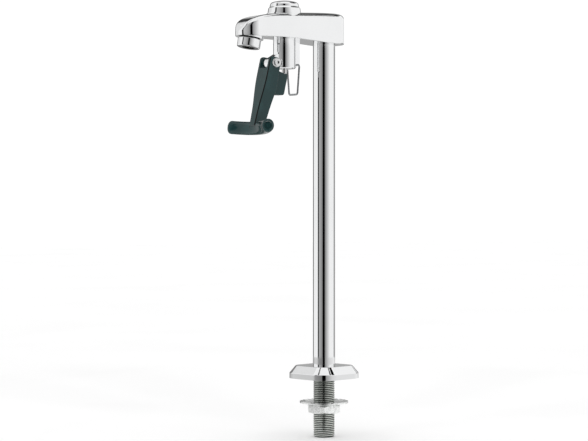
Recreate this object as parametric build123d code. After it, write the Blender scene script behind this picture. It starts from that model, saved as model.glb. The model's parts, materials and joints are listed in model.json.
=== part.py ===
from build123d import *
import math
import os

# Push-back glass filler. Millimetres, Z up, the deck surface at Z = 0, the spout along -Y, symmetric
# about X = 0 but for the flange and nuts, which stop where they are tight. The flange is a low pyramid
# on a rounded square.

# Clearances between pieces
SCREWED_GAP = 0.03
RUNNING_GAP = 0.06
FACE_GAP = 0.05
SLIDING_FACE_GAP = 0.15

# How far a cutting or trimming block runs past the face it cuts
CUT_EXTRA = 5.0

# Shank and its thread, half inch pipe size
THREAD_R = 10.67
THREAD_PITCH = 1.814
THREAD_DEPTH = 0.75
THREAD_GROOVE_WIDTH = 0.44
SHANK_LENGTH = 58.9
SHANK_BORE_R = 6.5
SHANK_END_CHAMFER = 1.4
SPIGOT_LENGTH = 16.0
SPIGOT_RING_HEIGHT = 8.0

# Deck flange
FLANGE_SIDE = 58.8
FLANGE_CORNER_R = 17.0
FLANGE_SLOPE_INSET = 6.2
FLANGE_BAND = 5.4
FLANGE_HEIGHT = 12.7
FLANGE_TURN = 10.0
FLANGE_EDGE_ROUND = 0.9
FLANGE_STEP = 6.0
GASKET_INNER_R = 17.0
GASKET_OUTER_R = 27.0
GASKET_THICKNESS = 1.8

# Washer and nut under the deck
DECK_SPACE = 22.9
WASHER_R = 24.2
WASHER_HOLE_R = 13.2
WASHER_THICKNESS = 1.5
WASHER_DISH = 1.6
WASHER_TEETH = 24
TOOTH_LENGTH = 2.6
TOOTH_WIDTH = 2.8
TOOTH_RISE = 0.6
NUT_FLATS = 31.4
NUT_THICKNESS = 8.1
NUT_TURN = -35.0
NUT_CHAMFER = 0.9

# Column
COLUMN_R = 11.1
COLUMN_WALL = 1.5
ARM_FOOT_Z = 332.9
COLUMN_IN_ARM = 15.0

# Arm: a tapered stadium in plan, with a top line that falls towards the nose
ARM_REACH = 87.0
ARM_REAR_R = 20.0
ARM_NOSE_R = 15.8
ARM_HEIGHT = 30.0
ARM_NOSE_RISE = 3.5
ARM_TOP_LINE_REAR = [(22.0, 1.0), (0.0, 0.0), (-37.0, 1.1), (-62.0, 2.6)]
ARM_TOP_LINE_NOSE = [(9.0, 4.7), (-3.0, 8.0), (-11.0, 13.2), (-15.4, 20.0), (-19.8, 25.5)]
ARM_TOP_ROUND = 5.0
ARM_FOOT_ROUND = 1.2
ARM_CHAMBER_R = 9.6
ARM_CHAMBER_HEIGHT = 9.0
INLET_PASSAGE_R = 3.3
INLET_ABOVE_SEAT = 0.3
OUTLET_PASSAGE_R = 3.2
OUTLET_PASSAGE_BELOW_SEAT = 2.5

# Valve barrel under the arm, with the lever's lug in front and a web behind
BARREL_Y = -48.2
BARREL_R = 11.1
BARREL_LENGTH = 29.5
BARREL_BORE_R = 7.5
BARREL_FLOOR = 4.0
BARREL_FOOT_CHAMFER = 0.8
WEB_THICKNESS = 6.0
WEB_DEPTH = 16.5
WEB_FOOT_ABOVE_BARREL = 1.6
WEB_FOOT_SLANT = 4.0
BARREL_EMBED = 5.2
LUG_THICKNESS = 9.6
LUG_R = 5.0
LUG_TOP_ABOVE_PIVOT = 8.8
LUG_SHOULDER_INSET = 0.5

# Valve chamber, seat and cap
SEAT_R = 9.5
SEAT_THICKNESS = 3.0
SEAT_ORIFICE_R = 5.0
SEAT_BELOW_CAP = 13.6
CHAMBER_R = 10.0
CAP_SEAT_ABOVE_FOOT = 28.6
CAP_BOSS_R = 17.3
CAP_BOSS_DEPTH = 12.0
CAP_BASE_R = 16.6
CAP_SHOULDER_R = 15.8
CAP_SHOULDER_HEIGHT = 4.8
CAP_NECK_R = 14.6
CAP_NECK_HEIGHT = 6.0
CAP_CROWN_R = 14.1
CAP_CROWN_HEIGHT = 8.3
CAP_DOME_R = 9.6
CAP_DOME_HEIGHT = 11.4
CAP_HEIGHT = 12.5
CAP_EDGE_ROUND = 0.8
CAP_THREAD_R = 11.0
CAP_THREAD_LENGTH = 4.0
CAP_SPOT_GAP = 0.7
CAP_RING_LEDGE = 1.3
CAP_POCKET_R = 8.2
CAP_POCKET_HEIGHT = 8.2

# Stem, poppet and return spring
STEM_R = 2.5
STEM_HOLE_GAP = 0.6
STEM_TIP_R = 1.6
STEM_PROUD = 4.9
STEM_COLLAR_R = 4.2
STEM_COLLAR_THICKNESS = 1.4
SEAT_WASHER_R = 7.0
SEAT_WASHER_THICKNESS = 1.6
POPPET_R = 7.2
POPPET_THICKNESS = 2.75
POPPET_NUT_FLATS = 7.0
POPPET_NUT_THICKNESS = 2.8
STEM_TIP_PROUD = 1.2
SPRING_R = 5.4
SPRING_WIRE_R = 0.55
SPRING_TURNS = 6.0
GUIDE_LENGTH = 14.0
GUIDE_RING_SPACING = 5.0

# O-rings, each as its section radius
COLUMN_RING_R = 0.9
SPIGOT_RING_R = 0.8
STEM_RING_R = 0.8
GUIDE_RING_R = 0.7
CAP_RING_R = 0.85
RING_GROOVE_SLACK = 0.3
COLUMN_RING_HEIGHT = 7.0

# Outlet, on an axis that leans forward
OUTLET_AHEAD = 2.1
OUTLET_ABOVE_FOOT = 2.2
OUTLET_LEAN = 10.0
OUTLET_COLLAR_R = 13.4
OUTLET_COLLAR_LENGTH = 10.0
NOZZLE_R = 11.4
NOZZLE_NECK_R = 10.0
NOZZLE_LENGTH = 9.4
NOZZLE_SHADOW_GAP = 0.8
NOZZLE_SOCKET_DEPTH = 6.0
NOZZLE_BORE_R = 8.4
NOZZLE_MOUTH_R = 6.2
NOZZLE_LIP = 1.8
NOZZLE_EDGE_ROUND = 1.0
NOZZLE_WASHER_THICKNESS = 1.4
OUTLET_CAVITY_DEPTH = 5.5
STRAIGHTENER_HEIGHT = 4.4
STRAIGHTENER_WALL = 1.1
STRAIGHTENER_RIB = 0.8
STRAIGHTENER_RIBS = 6
SCREEN_THICKNESS = 0.7
SCREEN_HOLE_R = 0.55
SCREEN_RINGS = 3
SCREEN_RING_STEP = 2.0

# Lever pivot, in front of the barrel
PIVOT_AHEAD_OF_BARREL = 15.8
PIVOT_ABOVE_BARREL_FOOT = 5.2
PIVOT_R = 2.0
PIVOT_HEAD_R = 4.6
PIVOT_HEAD_HEIGHT = 2.6
PIVOT_HEAD_ROUND = 1.8
PIVOT_SOCKET_FLATS = 3.0
PIVOT_SOCKET_DEPTH = 1.4
PIVOT_NUT_FLATS = 7.0
PIVOT_NUT_THICKNESS = 3.2
PIVOT_TIP_PROUD = 1.0
PIVOT_WASHER_R = 4.2

# Lever: lengths from the pivot, down the lever and across it
LEVER_TOP = 6.3
LEVER_HALF_TOP = 9.3
LEVER_HALF_MIDDLE = 8.1
LEVER_HALF_KNEE = 5.9
LEVER_HALF_FOOT = 4.6
LEVER_MIDDLE_DROP = 27.2
LEVER_KNEE_DROP = 41.7
LEVER_FOOT_DROP = 56.0
LEVER_END_DROP = 61.5
LEVER_FRONT_TOP = -6.6
LEVER_FRONT_FOOT = -22.9
LEVER_BACK_FOOT = -10.3
LEVER_BACK_KNEE = 0.8
LEVER_BACK_TOP = 3.2
LEVER_BACK_TOP_DROP = 11.2
LEVER_BOSS_R = 5.3
LEVER_BOSS_END_ANGLE = -20
LEVER_BOSS_MID_ANGLE = 35
LEVER_WALL = 3.0
LEVER_WEB_WALL = 2.8
LEVER_NOTCH_DROP = 5.2
LEVER_CORNER_ROUND = 3.2
LEVER_EDGE_ROUND = 0.8
LEVER_CUT_MARGIN = 1.0
LEVER_BLANK = 40.0
HEEL_THICKNESS = 9.0
HEEL_INNER_REACH = 4.5
HEEL_INNER_DROP = 7.4
HEEL_LEDGE_REACH = 13.0
HEEL_TOP_DROP = 10.25
HEEL_REACH = 16.6
HEEL_CORNER_DROP = 14.8
HEEL_WAIST_DROP = 20.7
HEEL_WAIST_REACH = 15.0
HEEL_FOOT_DROP = 31.4
HEEL_FOOT_REACH = 12.6
HEEL_FOOT_ROUND = 2.5
HEEL_EDGE_ROUND = 1.0

# Push pad: a crescent bar, its ends towards the glass
PAD_CENTRE_BACK = -16.4
PAD_CENTRE_DROP = 64.3
PAD_ARC_R = 60.0
PAD_HALF_SPAN = 34.5
PAD_HEIGHT = 13.2
PAD_DEPTH = 11.8
PAD_END_ROUND = 3.6
PAD_DISH_R = 3.8
PAD_DISH_DEPTH = 1.6
PAD_LEAN = 10.0

# Wire bail behind the barrel
BAIL_AXIS_INSET = 0.4
BAIL_AXIS_ABOVE_BARREL_FOOT = 4.0
BAIL_WIRE_R = 0.95
BAIL_HALF_TOP = 10.5
BAIL_HALF_FOOT = 7.1
BAIL_DROP = 29.0
BAIL_BEND_R = 2.4
BAIL_END_SPLIT = 1.2

# Places that follow from the sizes above
COLUMN_BORE_R = COLUMN_R - COLUMN_WALL
COLUMN_TOP_Z = ARM_FOOT_Z + COLUMN_IN_ARM
WASHER_TOP_Z = -DECK_SPACE
WASHER_FOOT_Z = WASHER_TOP_Z - TOOTH_RISE - WASHER_THICKNESS - WASHER_DISH
NUT_TOP_Z = WASHER_FOOT_Z
NUT_FOOT_Z = NUT_TOP_Z - NUT_THICKNESS
SHANK_NECK_R = THREAD_R - THREAD_DEPTH
SPIGOT_R = COLUMN_BORE_R - RUNNING_GAP
ARM_UNDERSIDE_Z = ARM_FOOT_Z + ARM_NOSE_RISE
BARREL_FOOT_Z = ARM_UNDERSIDE_Z - BARREL_LENGTH
BARREL_BORE_FOOT_Z = BARREL_FOOT_Z + BARREL_FLOOR
CAP_SEAT_Z = ARM_FOOT_Z + CAP_SEAT_ABOVE_FOOT
CAP_THREAD_FOOT_Z = CAP_SEAT_Z - CAP_THREAD_LENGTH
SEAT_TOP_Z = CAP_SEAT_Z - SEAT_BELOW_CAP + SEAT_THICKNESS
SEAT_FOOT_Z = SEAT_TOP_Z - SEAT_THICKNESS
PIVOT_Y = BARREL_Y - PIVOT_AHEAD_OF_BARREL
PIVOT_Z = BARREL_FOOT_Z + PIVOT_ABOVE_BARREL_FOOT
POPPET_FOOT_Z = SEAT_TOP_Z + FACE_GAP + SEAT_WASHER_THICKNESS
POPPET_TOP_Z = POPPET_FOOT_Z + POPPET_THICKNESS
CAP_POCKET_TOP_Z = CAP_SEAT_Z + CAP_POCKET_HEIGHT
BAIL_Y = BARREL_Y + BARREL_R - BAIL_AXIS_INSET
BAIL_Z = BARREL_FOOT_Z + BAIL_AXIS_ABOVE_BARREL_FOOT
OUTLET_Y = -(ARM_REACH + OUTLET_AHEAD)
OUTLET_Z = ARM_FOOT_Z + OUTLET_ABOVE_FOOT
OUTLET_PLANE = Plane(
    origin=(0, OUTLET_Y, OUTLET_Z),
    x_dir=(1, 0, 0),
    z_dir=(0, -math.sin(math.radians(OUTLET_LEAN)), -math.cos(math.radians(OUTLET_LEAN))),
)
PARTS = {}


def place(name, shape):
    """Keeps a finished piece under its node name."""
    PARTS[name] = shape


def disc(radius, low, high, y=0.0):
    """A round bar on a vertical axis, from one height to another."""
    return Pos(0, y, (low + high) / 2) * Cylinder(radius, high - low)


def cross_bar(radius, x_low, x_high, y, z):
    """A round bar along X."""
    return Pos((x_low + x_high) / 2, y, z) * Rot(0, 90, 0) * Cylinder(radius, x_high - x_low)


def bar_between(start, end, radius):
    """A round bar from one point to another."""
    line = Line(start, end)
    return extrude(Plane(origin=start, z_dir=line % 0) * Circle(radius), line.length)


def along_outlet(radius, start, end):
    """A round bar on the outlet's leaning axis, measured downwards from the collar's face."""
    return OUTLET_PLANE * Pos(0, 0, (start + end) / 2) * Cylinder(radius, end - start)


def lathe(points, y=0.0):
    """A closed outline of (radius, height) points turned about a vertical axis."""
    return Pos(0, y, 0) * revolve(make_face(Plane.XZ * Polyline(*points, close=True)), Axis.Z)


def o_ring(mean_radius, section_radius, height, y=0.0):
    """A round-section ring on a vertical axis."""
    section = Plane.XZ * Pos(mean_radius, height) * Circle(section_radius)
    return Pos(0, y, 0) * revolve(section, Axis.Z)


def hexagon(flats, low, high, turn=0.0):
    """A hexagonal bar whose corner points along the turn angle."""
    outline = RegularPolygon(flats / 2, 6, major_radius=False, rotation=turn)
    return extrude(Pos(0, 0, low) * outline, high - low)


def x_slab(face_in_yz, half_width):
    """A profile drawn in (Y, Z) made into a slab that is centred on X = 0."""
    return Pos(-half_width, 0, 0) * extrude(face_in_yz, 2 * half_width, dir=(1, 0, 0))


def yz_face(points):
    """A closed face from (Y, Z) points."""
    return make_face(Plane.YZ * Polyline(*points, close=True))


def threaded_run(low, high):
    """Outline of a stretch of thread: flat crests with V grooves between them."""
    count = int((high - low) / THREAD_PITCH)
    first = (low + high - (count - 1) * THREAD_PITCH) / 2
    points = [(THREAD_R, low)]
    for turn in range(count):
        middle = first + turn * THREAD_PITCH
        points.append((THREAD_R, middle - THREAD_GROOVE_WIDTH / 2))
        points.append((THREAD_R - THREAD_DEPTH, middle))
        points.append((THREAD_R, middle + THREAD_GROOVE_WIDTH / 2))
    points.append((THREAD_R, high))
    return points


def make_shank():
    spigot_top = FLANGE_STEP + SPIGOT_LENGTH
    outline = [(SHANK_BORE_R, -SHANK_LENGTH), (THREAD_R - SHANK_END_CHAMFER, -SHANK_LENGTH)]
    outline += threaded_run(-SHANK_LENGTH + SHANK_END_CHAMFER, NUT_FOOT_Z)
    outline += [(SHANK_NECK_R, NUT_FOOT_Z), (SHANK_NECK_R, NUT_TOP_Z)]
    outline += threaded_run(NUT_TOP_Z, FLANGE_STEP)
    outline += [(SPIGOT_R, FLANGE_STEP), (SPIGOT_R, spigot_top), (SHANK_BORE_R, spigot_top)]
    shank = lathe(outline)
    ring_z = FLANGE_STEP + SPIGOT_RING_HEIGHT
    ring_mean = COLUMN_BORE_R - SPIGOT_RING_R - FACE_GAP
    groove_half = SPIGOT_RING_R + RING_GROOVE_SLACK
    groove_r = ring_mean - SPIGOT_RING_R - FACE_GAP
    groove = disc(SPIGOT_R + 1, ring_z - groove_half, ring_z + groove_half)
    groove -= disc(groove_r, ring_z - groove_half, ring_z + groove_half)
    place("threaded_shank", shank - groove)
    place("shank_o_ring", o_ring(ring_mean, SPIGOT_RING_R, ring_z))


def flange_plan(inset, height):
    """The flange's rounded square from above, its sides moved in by an inset."""
    side = FLANGE_SIDE - 2 * inset
    return Pos(0, 0, height) * Rot(0, 0, FLANGE_TURN) * RectangleRounded(side, side, FLANGE_CORNER_R - inset)


def make_flange():
    foot, top = flange_plan(0, FLANGE_BAND), flange_plan(FLANGE_SLOPE_INSET, FLANGE_HEIGHT)
    body = extrude(flange_plan(0, 0), FLANGE_BAND) + loft([foot, top], ruled=True)
    rings = [e for e in body.edges() if e.center().Z > FLANGE_BAND - 0.1 and abs((e % 0.5).Z) < 0.1]
    body = fillet(rings, FLANGE_EDGE_ROUND)
    body -= disc(THREAD_R + SCREWED_GAP, 0, FLANGE_STEP)
    body -= disc(COLUMN_R + FACE_GAP, FLANGE_STEP, FLANGE_HEIGHT)
    recess = disc(GASKET_OUTER_R + FACE_GAP, 0, GASKET_THICKNESS + FACE_GAP)
    recess -= disc(GASKET_INNER_R - FACE_GAP, 0, GASKET_THICKNESS + FACE_GAP)
    place("deck_flange", body - recess)
    gasket = disc(GASKET_OUTER_R, 0, GASKET_THICKNESS) - disc(GASKET_INNER_R, 0, GASKET_THICKNESS)
    place("flange_gasket", gasket)


def make_washer():
    rim_foot = WASHER_FOOT_Z + WASHER_DISH
    rim_top = rim_foot + WASHER_THICKNESS
    washer = lathe([
        (WASHER_HOLE_R, WASHER_FOOT_Z),
        (NUT_FLATS / 2, WASHER_FOOT_Z),
        (WASHER_R, rim_foot),
        (WASHER_R, rim_top),
        (NUT_FLATS / 2, WASHER_FOOT_Z + WASHER_THICKNESS),
        (WASHER_HOLE_R, WASHER_FOOT_Z + WASHER_THICKNESS),
    ])
    root = WASHER_R - TOOTH_LENGTH
    profile = make_face(Plane.XZ * Polyline(
        (root, rim_foot + WASHER_THICKNESS / 2),
        (WASHER_R, rim_foot + WASHER_THICKNESS / 2),
        (WASHER_R, WASHER_TOP_Z),
        (root, rim_top - TOOTH_RISE / 2),
        close=True,
    ))
    tooth = Pos(0, TOOTH_WIDTH / 2, 0) * extrude(profile, TOOTH_WIDTH, dir=(0, -1, 0))
    for number in range(WASHER_TEETH):
        washer += Rot(0, 0, number * 360 / WASHER_TEETH) * tooth
    place("lock_washer", washer)


def make_nut():
    corner_r = NUT_FLATS / math.sqrt(3)
    face_r = NUT_FLATS / 2 - NUT_CHAMFER / 2
    drop = (corner_r - face_r) * math.tan(math.radians(30))
    nut = hexagon(NUT_FLATS, NUT_FOOT_Z, NUT_TOP_Z, NUT_TURN)
    nut &= lathe([
        (0, NUT_FOOT_Z),
        (face_r, NUT_FOOT_Z),
        (corner_r, NUT_FOOT_Z + drop),
        (corner_r, NUT_TOP_Z - drop),
        (face_r, NUT_TOP_Z),
        (0, NUT_TOP_Z),
    ])
    place("lock_nut", nut - disc(SHANK_NECK_R + SCREWED_GAP, NUT_FOOT_Z, NUT_TOP_Z))


def make_column():
    tube = disc(COLUMN_R, FLANGE_STEP, COLUMN_TOP_Z)
    place("column_tube", tube - disc(COLUMN_BORE_R, FLANGE_STEP, COLUMN_TOP_Z))
    ring_mean = COLUMN_R + COLUMN_RING_R + FACE_GAP
    place("column_o_ring", o_ring(ring_mean, COLUMN_RING_R, ARM_FOOT_Z + COLUMN_RING_HEIGHT))


def arm_plan():
    """The arm from above: a round rear, straight tapering sides and a round nose."""
    lean = (ARM_REAR_R - ARM_NOSE_R) / ARM_REACH
    across = math.sqrt(1 - lean * lean)
    rear_x, rear_y = ARM_REAR_R * across, -ARM_REAR_R * lean
    nose_x, nose_y = ARM_NOSE_R * across, -ARM_REACH - ARM_NOSE_R * lean
    return make_face(
        Line((rear_x, rear_y), (nose_x, nose_y))
        + ThreePointArc((nose_x, nose_y), (0, -ARM_REACH - ARM_NOSE_R), (-nose_x, nose_y))
        + Line((-nose_x, nose_y), (-rear_x, rear_y))
        + ThreePointArc((-rear_x, rear_y), (0, ARM_REAR_R), (rear_x, rear_y))
    )


def arm_side():
    """The arm from the side: a nearly level underside, and a top line that turns down over the nose."""
    top = ARM_FOOT_Z + ARM_HEIGHT
    top_points = [(y, top - drop) for y, drop in ARM_TOP_LINE_REAR]
    top_points += [(y - ARM_REACH, top - drop) for y, drop in ARM_TOP_LINE_NOSE]
    rear, front = top_points[0], top_points[-1]
    rear_foot, front_foot = (rear[0], ARM_FOOT_Z), (front[0], ARM_UNDERSIDE_Z)
    underside = Spline(
        rear_foot,
        (0, ARM_FOOT_Z),
        (BARREL_Y / 2, (ARM_FOOT_Z + ARM_UNDERSIDE_Z) / 2),
        (BARREL_Y, ARM_UNDERSIDE_Z),
        (-ARM_REACH, ARM_UNDERSIDE_Z),
        front_foot,
    )
    outline = underside + Spline(*top_points) + Line(rear_foot, rear) + Line(front, front_foot)
    return make_face(Plane.YZ * outline)


def make_arm_shell():
    """The arm's outer form before anything is added or bored."""
    plan = extrude(Pos(0, 0, ARM_FOOT_Z - CUT_EXTRA) * arm_plan(), ARM_HEIGHT + 2 * CUT_EXTRA)
    body = plan & x_slab(arm_side(), ARM_REAR_R + CUT_EXTRA)
    top_edges = [
        e for e in body.edges()
        if (e @ 0.5).Z > ARM_FOOT_Z + ARM_HEIGHT / 4 and abs((e % 0.5).Z) < 0.9
    ]
    body = fillet(top_edges, ARM_TOP_ROUND)
    foot_edges = [
        e for e in body.edges()
        if (e @ 0.5).Z < ARM_UNDERSIDE_Z + 1 and abs((e % 0.5).Z) < 0.5
    ]
    return fillet(foot_edges, ARM_FOOT_ROUND)


def make_barrel():
    """The valve barrel, the web behind it and the lug for the lever in front."""
    barrel_top = ARM_UNDERSIDE_Z + BARREL_EMBED
    barrel = disc(BARREL_R, BARREL_FOOT_Z, barrel_top, BARREL_Y)
    foot = barrel.edges().group_by(Axis.Z)[0]
    barrel = chamfer(foot, BARREL_FOOT_CHAMFER)
    web_foot = BARREL_FOOT_Z + WEB_FOOT_ABOVE_BARREL
    web_rear = BARREL_Y + WEB_DEPTH
    web = x_slab(yz_face([
        (BARREL_Y + BARREL_BORE_R, web_foot),
        (web_rear - WEB_FOOT_SLANT, web_foot),
        (web_rear, web_foot + WEB_FOOT_SLANT),
        (web_rear, barrel_top),
        (BARREL_Y + BARREL_BORE_R, barrel_top),
    ]), WEB_THICKNESS / 2)
    shoulder_y = PIVOT_AHEAD_OF_BARREL - BARREL_R + LUG_SHOULDER_INSET
    reach = math.hypot(shoulder_y, LUG_TOP_ABOVE_PIVOT)
    tangent_angle = math.atan2(LUG_TOP_ABOVE_PIVOT, shoulder_y) + math.acos(LUG_R / reach)
    lug_rear = BARREL_Y - (BARREL_BORE_R + BARREL_R) / 2
    lug = x_slab(yz_face([
        (PIVOT_Y, PIVOT_Z - LUG_R),
        (lug_rear, PIVOT_Z - LUG_R),
        (lug_rear, PIVOT_Z + LUG_TOP_ABOVE_PIVOT),
        (PIVOT_Y + shoulder_y, PIVOT_Z + LUG_TOP_ABOVE_PIVOT),
        (PIVOT_Y + LUG_R * math.cos(tangent_angle), PIVOT_Z + LUG_R * math.sin(tangent_angle)),
        (PIVOT_Y, PIVOT_Z),
    ]), LUG_THICKNESS / 2)
    nose = cross_bar(LUG_R, -LUG_THICKNESS / 2, LUG_THICKNESS / 2, PIVOT_Y, PIVOT_Z)
    return barrel + web + lug + nose


def make_head_body():
    arm = make_arm_shell()
    arm += make_barrel()
    arm += disc(CAP_BOSS_R, CAP_SEAT_Z - CAP_BOSS_DEPTH, CAP_SEAT_Z, BARREL_Y)
    arm += along_outlet(OUTLET_COLLAR_R, -OUTLET_COLLAR_LENGTH, 0)
    trim_width = 2 * (ARM_NOSE_R + CUT_EXTRA)
    nose_trim = Box(trim_width, trim_width, CUT_EXTRA, align=(Align.CENTER, Align.CENTER, Align.MIN))
    arm -= OUTLET_PLANE * nose_trim
    arm -= disc(CAP_BASE_R + CAP_SPOT_GAP, CAP_SEAT_Z, CAP_SEAT_Z + CUT_EXTRA, BARREL_Y)

    # Column socket with its ring groove, and the space above the column
    arm -= disc(COLUMN_R + FACE_GAP, ARM_FOOT_Z - CUT_EXTRA, COLUMN_TOP_Z)
    arm -= disc(ARM_CHAMBER_R, COLUMN_TOP_Z, COLUMN_TOP_Z + ARM_CHAMBER_HEIGHT)
    ring_z = ARM_FOOT_Z + COLUMN_RING_HEIGHT
    groove_half = COLUMN_RING_R + RING_GROOVE_SLACK
    arm -= disc(COLUMN_R + 2 * COLUMN_RING_R + 2 * FACE_GAP, ring_z - groove_half, ring_z + groove_half)

    # Valve chamber, seat pocket, barrel bore and the stem's way out
    arm -= disc(CAP_THREAD_R, CAP_THREAD_FOOT_Z, CAP_SEAT_Z, BARREL_Y)
    arm -= disc(CHAMBER_R, SEAT_TOP_Z, CAP_THREAD_FOOT_Z, BARREL_Y)
    arm -= disc(SEAT_R, SEAT_FOOT_Z, SEAT_TOP_Z, BARREL_Y)
    arm -= disc(BARREL_BORE_R, BARREL_BORE_FOOT_Z, SEAT_FOOT_Z, BARREL_Y)
    arm -= disc(STEM_R + STEM_HOLE_GAP, BARREL_FOOT_Z, BARREL_BORE_FOOT_Z, BARREL_Y)

    # Water ways: column to chamber, and below the seat to the outlet
    inlet_z = SEAT_TOP_Z + INLET_PASSAGE_R + INLET_ABOVE_SEAT
    arm -= bar_between((0, 0, inlet_z), (0, BARREL_Y, inlet_z), INLET_PASSAGE_R)
    socket_depth = NOZZLE_SOCKET_DEPTH + NOZZLE_WASHER_THICKNESS + 2 * FACE_GAP
    cavity_top = socket_depth + OUTLET_CAVITY_DEPTH
    outlet_end = OUTLET_PLANE.from_local_coords(Vector(0, 0, OUTLET_PASSAGE_R - cavity_top))
    outlet_start_z = SEAT_FOOT_Z - OUTLET_PASSAGE_R - OUTLET_PASSAGE_BELOW_SEAT
    outlet_start = Vector(0, BARREL_Y - BARREL_BORE_R / 2, outlet_start_z)
    arm -= bar_between(outlet_start, outlet_end, OUTLET_PASSAGE_R)

    # Outlet socket on the leaning axis
    arm -= along_outlet(NOZZLE_NECK_R + SCREWED_GAP, -socket_depth, 0)
    arm -= along_outlet(NOZZLE_BORE_R, -cavity_top, 0)

    # Cross holes for the lever's screw and the bail's ends
    arm -= cross_bar(PIVOT_R + SCREWED_GAP, -LUG_THICKNESS, LUG_THICKNESS, PIVOT_Y, PIVOT_Z)
    arm -= cross_bar(BAIL_WIRE_R + RUNNING_GAP, -BAIL_HALF_TOP, BAIL_HALF_TOP, BAIL_Y, BAIL_Z)
    place("head_body", arm)


def make_cap():
    """A shouldered cap with a low domed top, its thread below it and a pocket for the spring inside."""
    seat = CAP_SEAT_Z
    top = (0, seat + CAP_HEIGHT)
    crown = (CAP_CROWN_R, seat + CAP_CROWN_HEIGHT)
    sides = Polyline(
        top,
        (0, seat),
        (CAP_BASE_R, seat),
        (CAP_SHOULDER_R, seat + CAP_SHOULDER_HEIGHT),
        (CAP_NECK_R, seat + CAP_NECK_HEIGHT),
        crown,
    )
    side_slope = (CAP_CROWN_R - CAP_NECK_R, CAP_CROWN_HEIGHT - CAP_NECK_HEIGHT)
    dome = Spline(crown, (CAP_DOME_R, seat + CAP_DOME_HEIGHT), top, tangents=[side_slope, (-1, 0)])
    outer = Pos(0, BARREL_Y, 0) * revolve(make_face(Plane.XZ * (sides + dome)), Axis.Z)
    shoulder_zone = (seat + CAP_SHOULDER_HEIGHT / 2, seat + (CAP_NECK_HEIGHT + CAP_CROWN_HEIGHT) / 2)
    round_edges = [
        e for e in outer.edges()
        if e.geom_type == GeomType.CIRCLE and shoulder_zone[0] < e.center().Z < shoulder_zone[1]
    ]
    outer = fillet(round_edges, CAP_EDGE_ROUND)
    plug_foot = CAP_THREAD_FOOT_Z + FACE_GAP
    cap = outer + disc(CAP_THREAD_R - SCREWED_GAP, plug_foot, seat, BARREL_Y)
    cap -= disc(CAP_POCKET_R, plug_foot, CAP_POCKET_TOP_Z, BARREL_Y)
    ring_mean = CAP_THREAD_R + CAP_RING_LEDGE + CAP_RING_R
    ring_z = seat + CAP_RING_R + FACE_GAP
    groove_half = CAP_RING_R + FACE_GAP
    groove_top = ring_z + CAP_RING_R + FACE_GAP
    groove = disc(ring_mean + groove_half, seat, groove_top, BARREL_Y)
    groove -= disc(ring_mean - groove_half, seat, groove_top, BARREL_Y)
    place("cap", cap - groove)
    place("cap_o_ring", o_ring(ring_mean, CAP_RING_R, ring_z, BARREL_Y))


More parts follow.
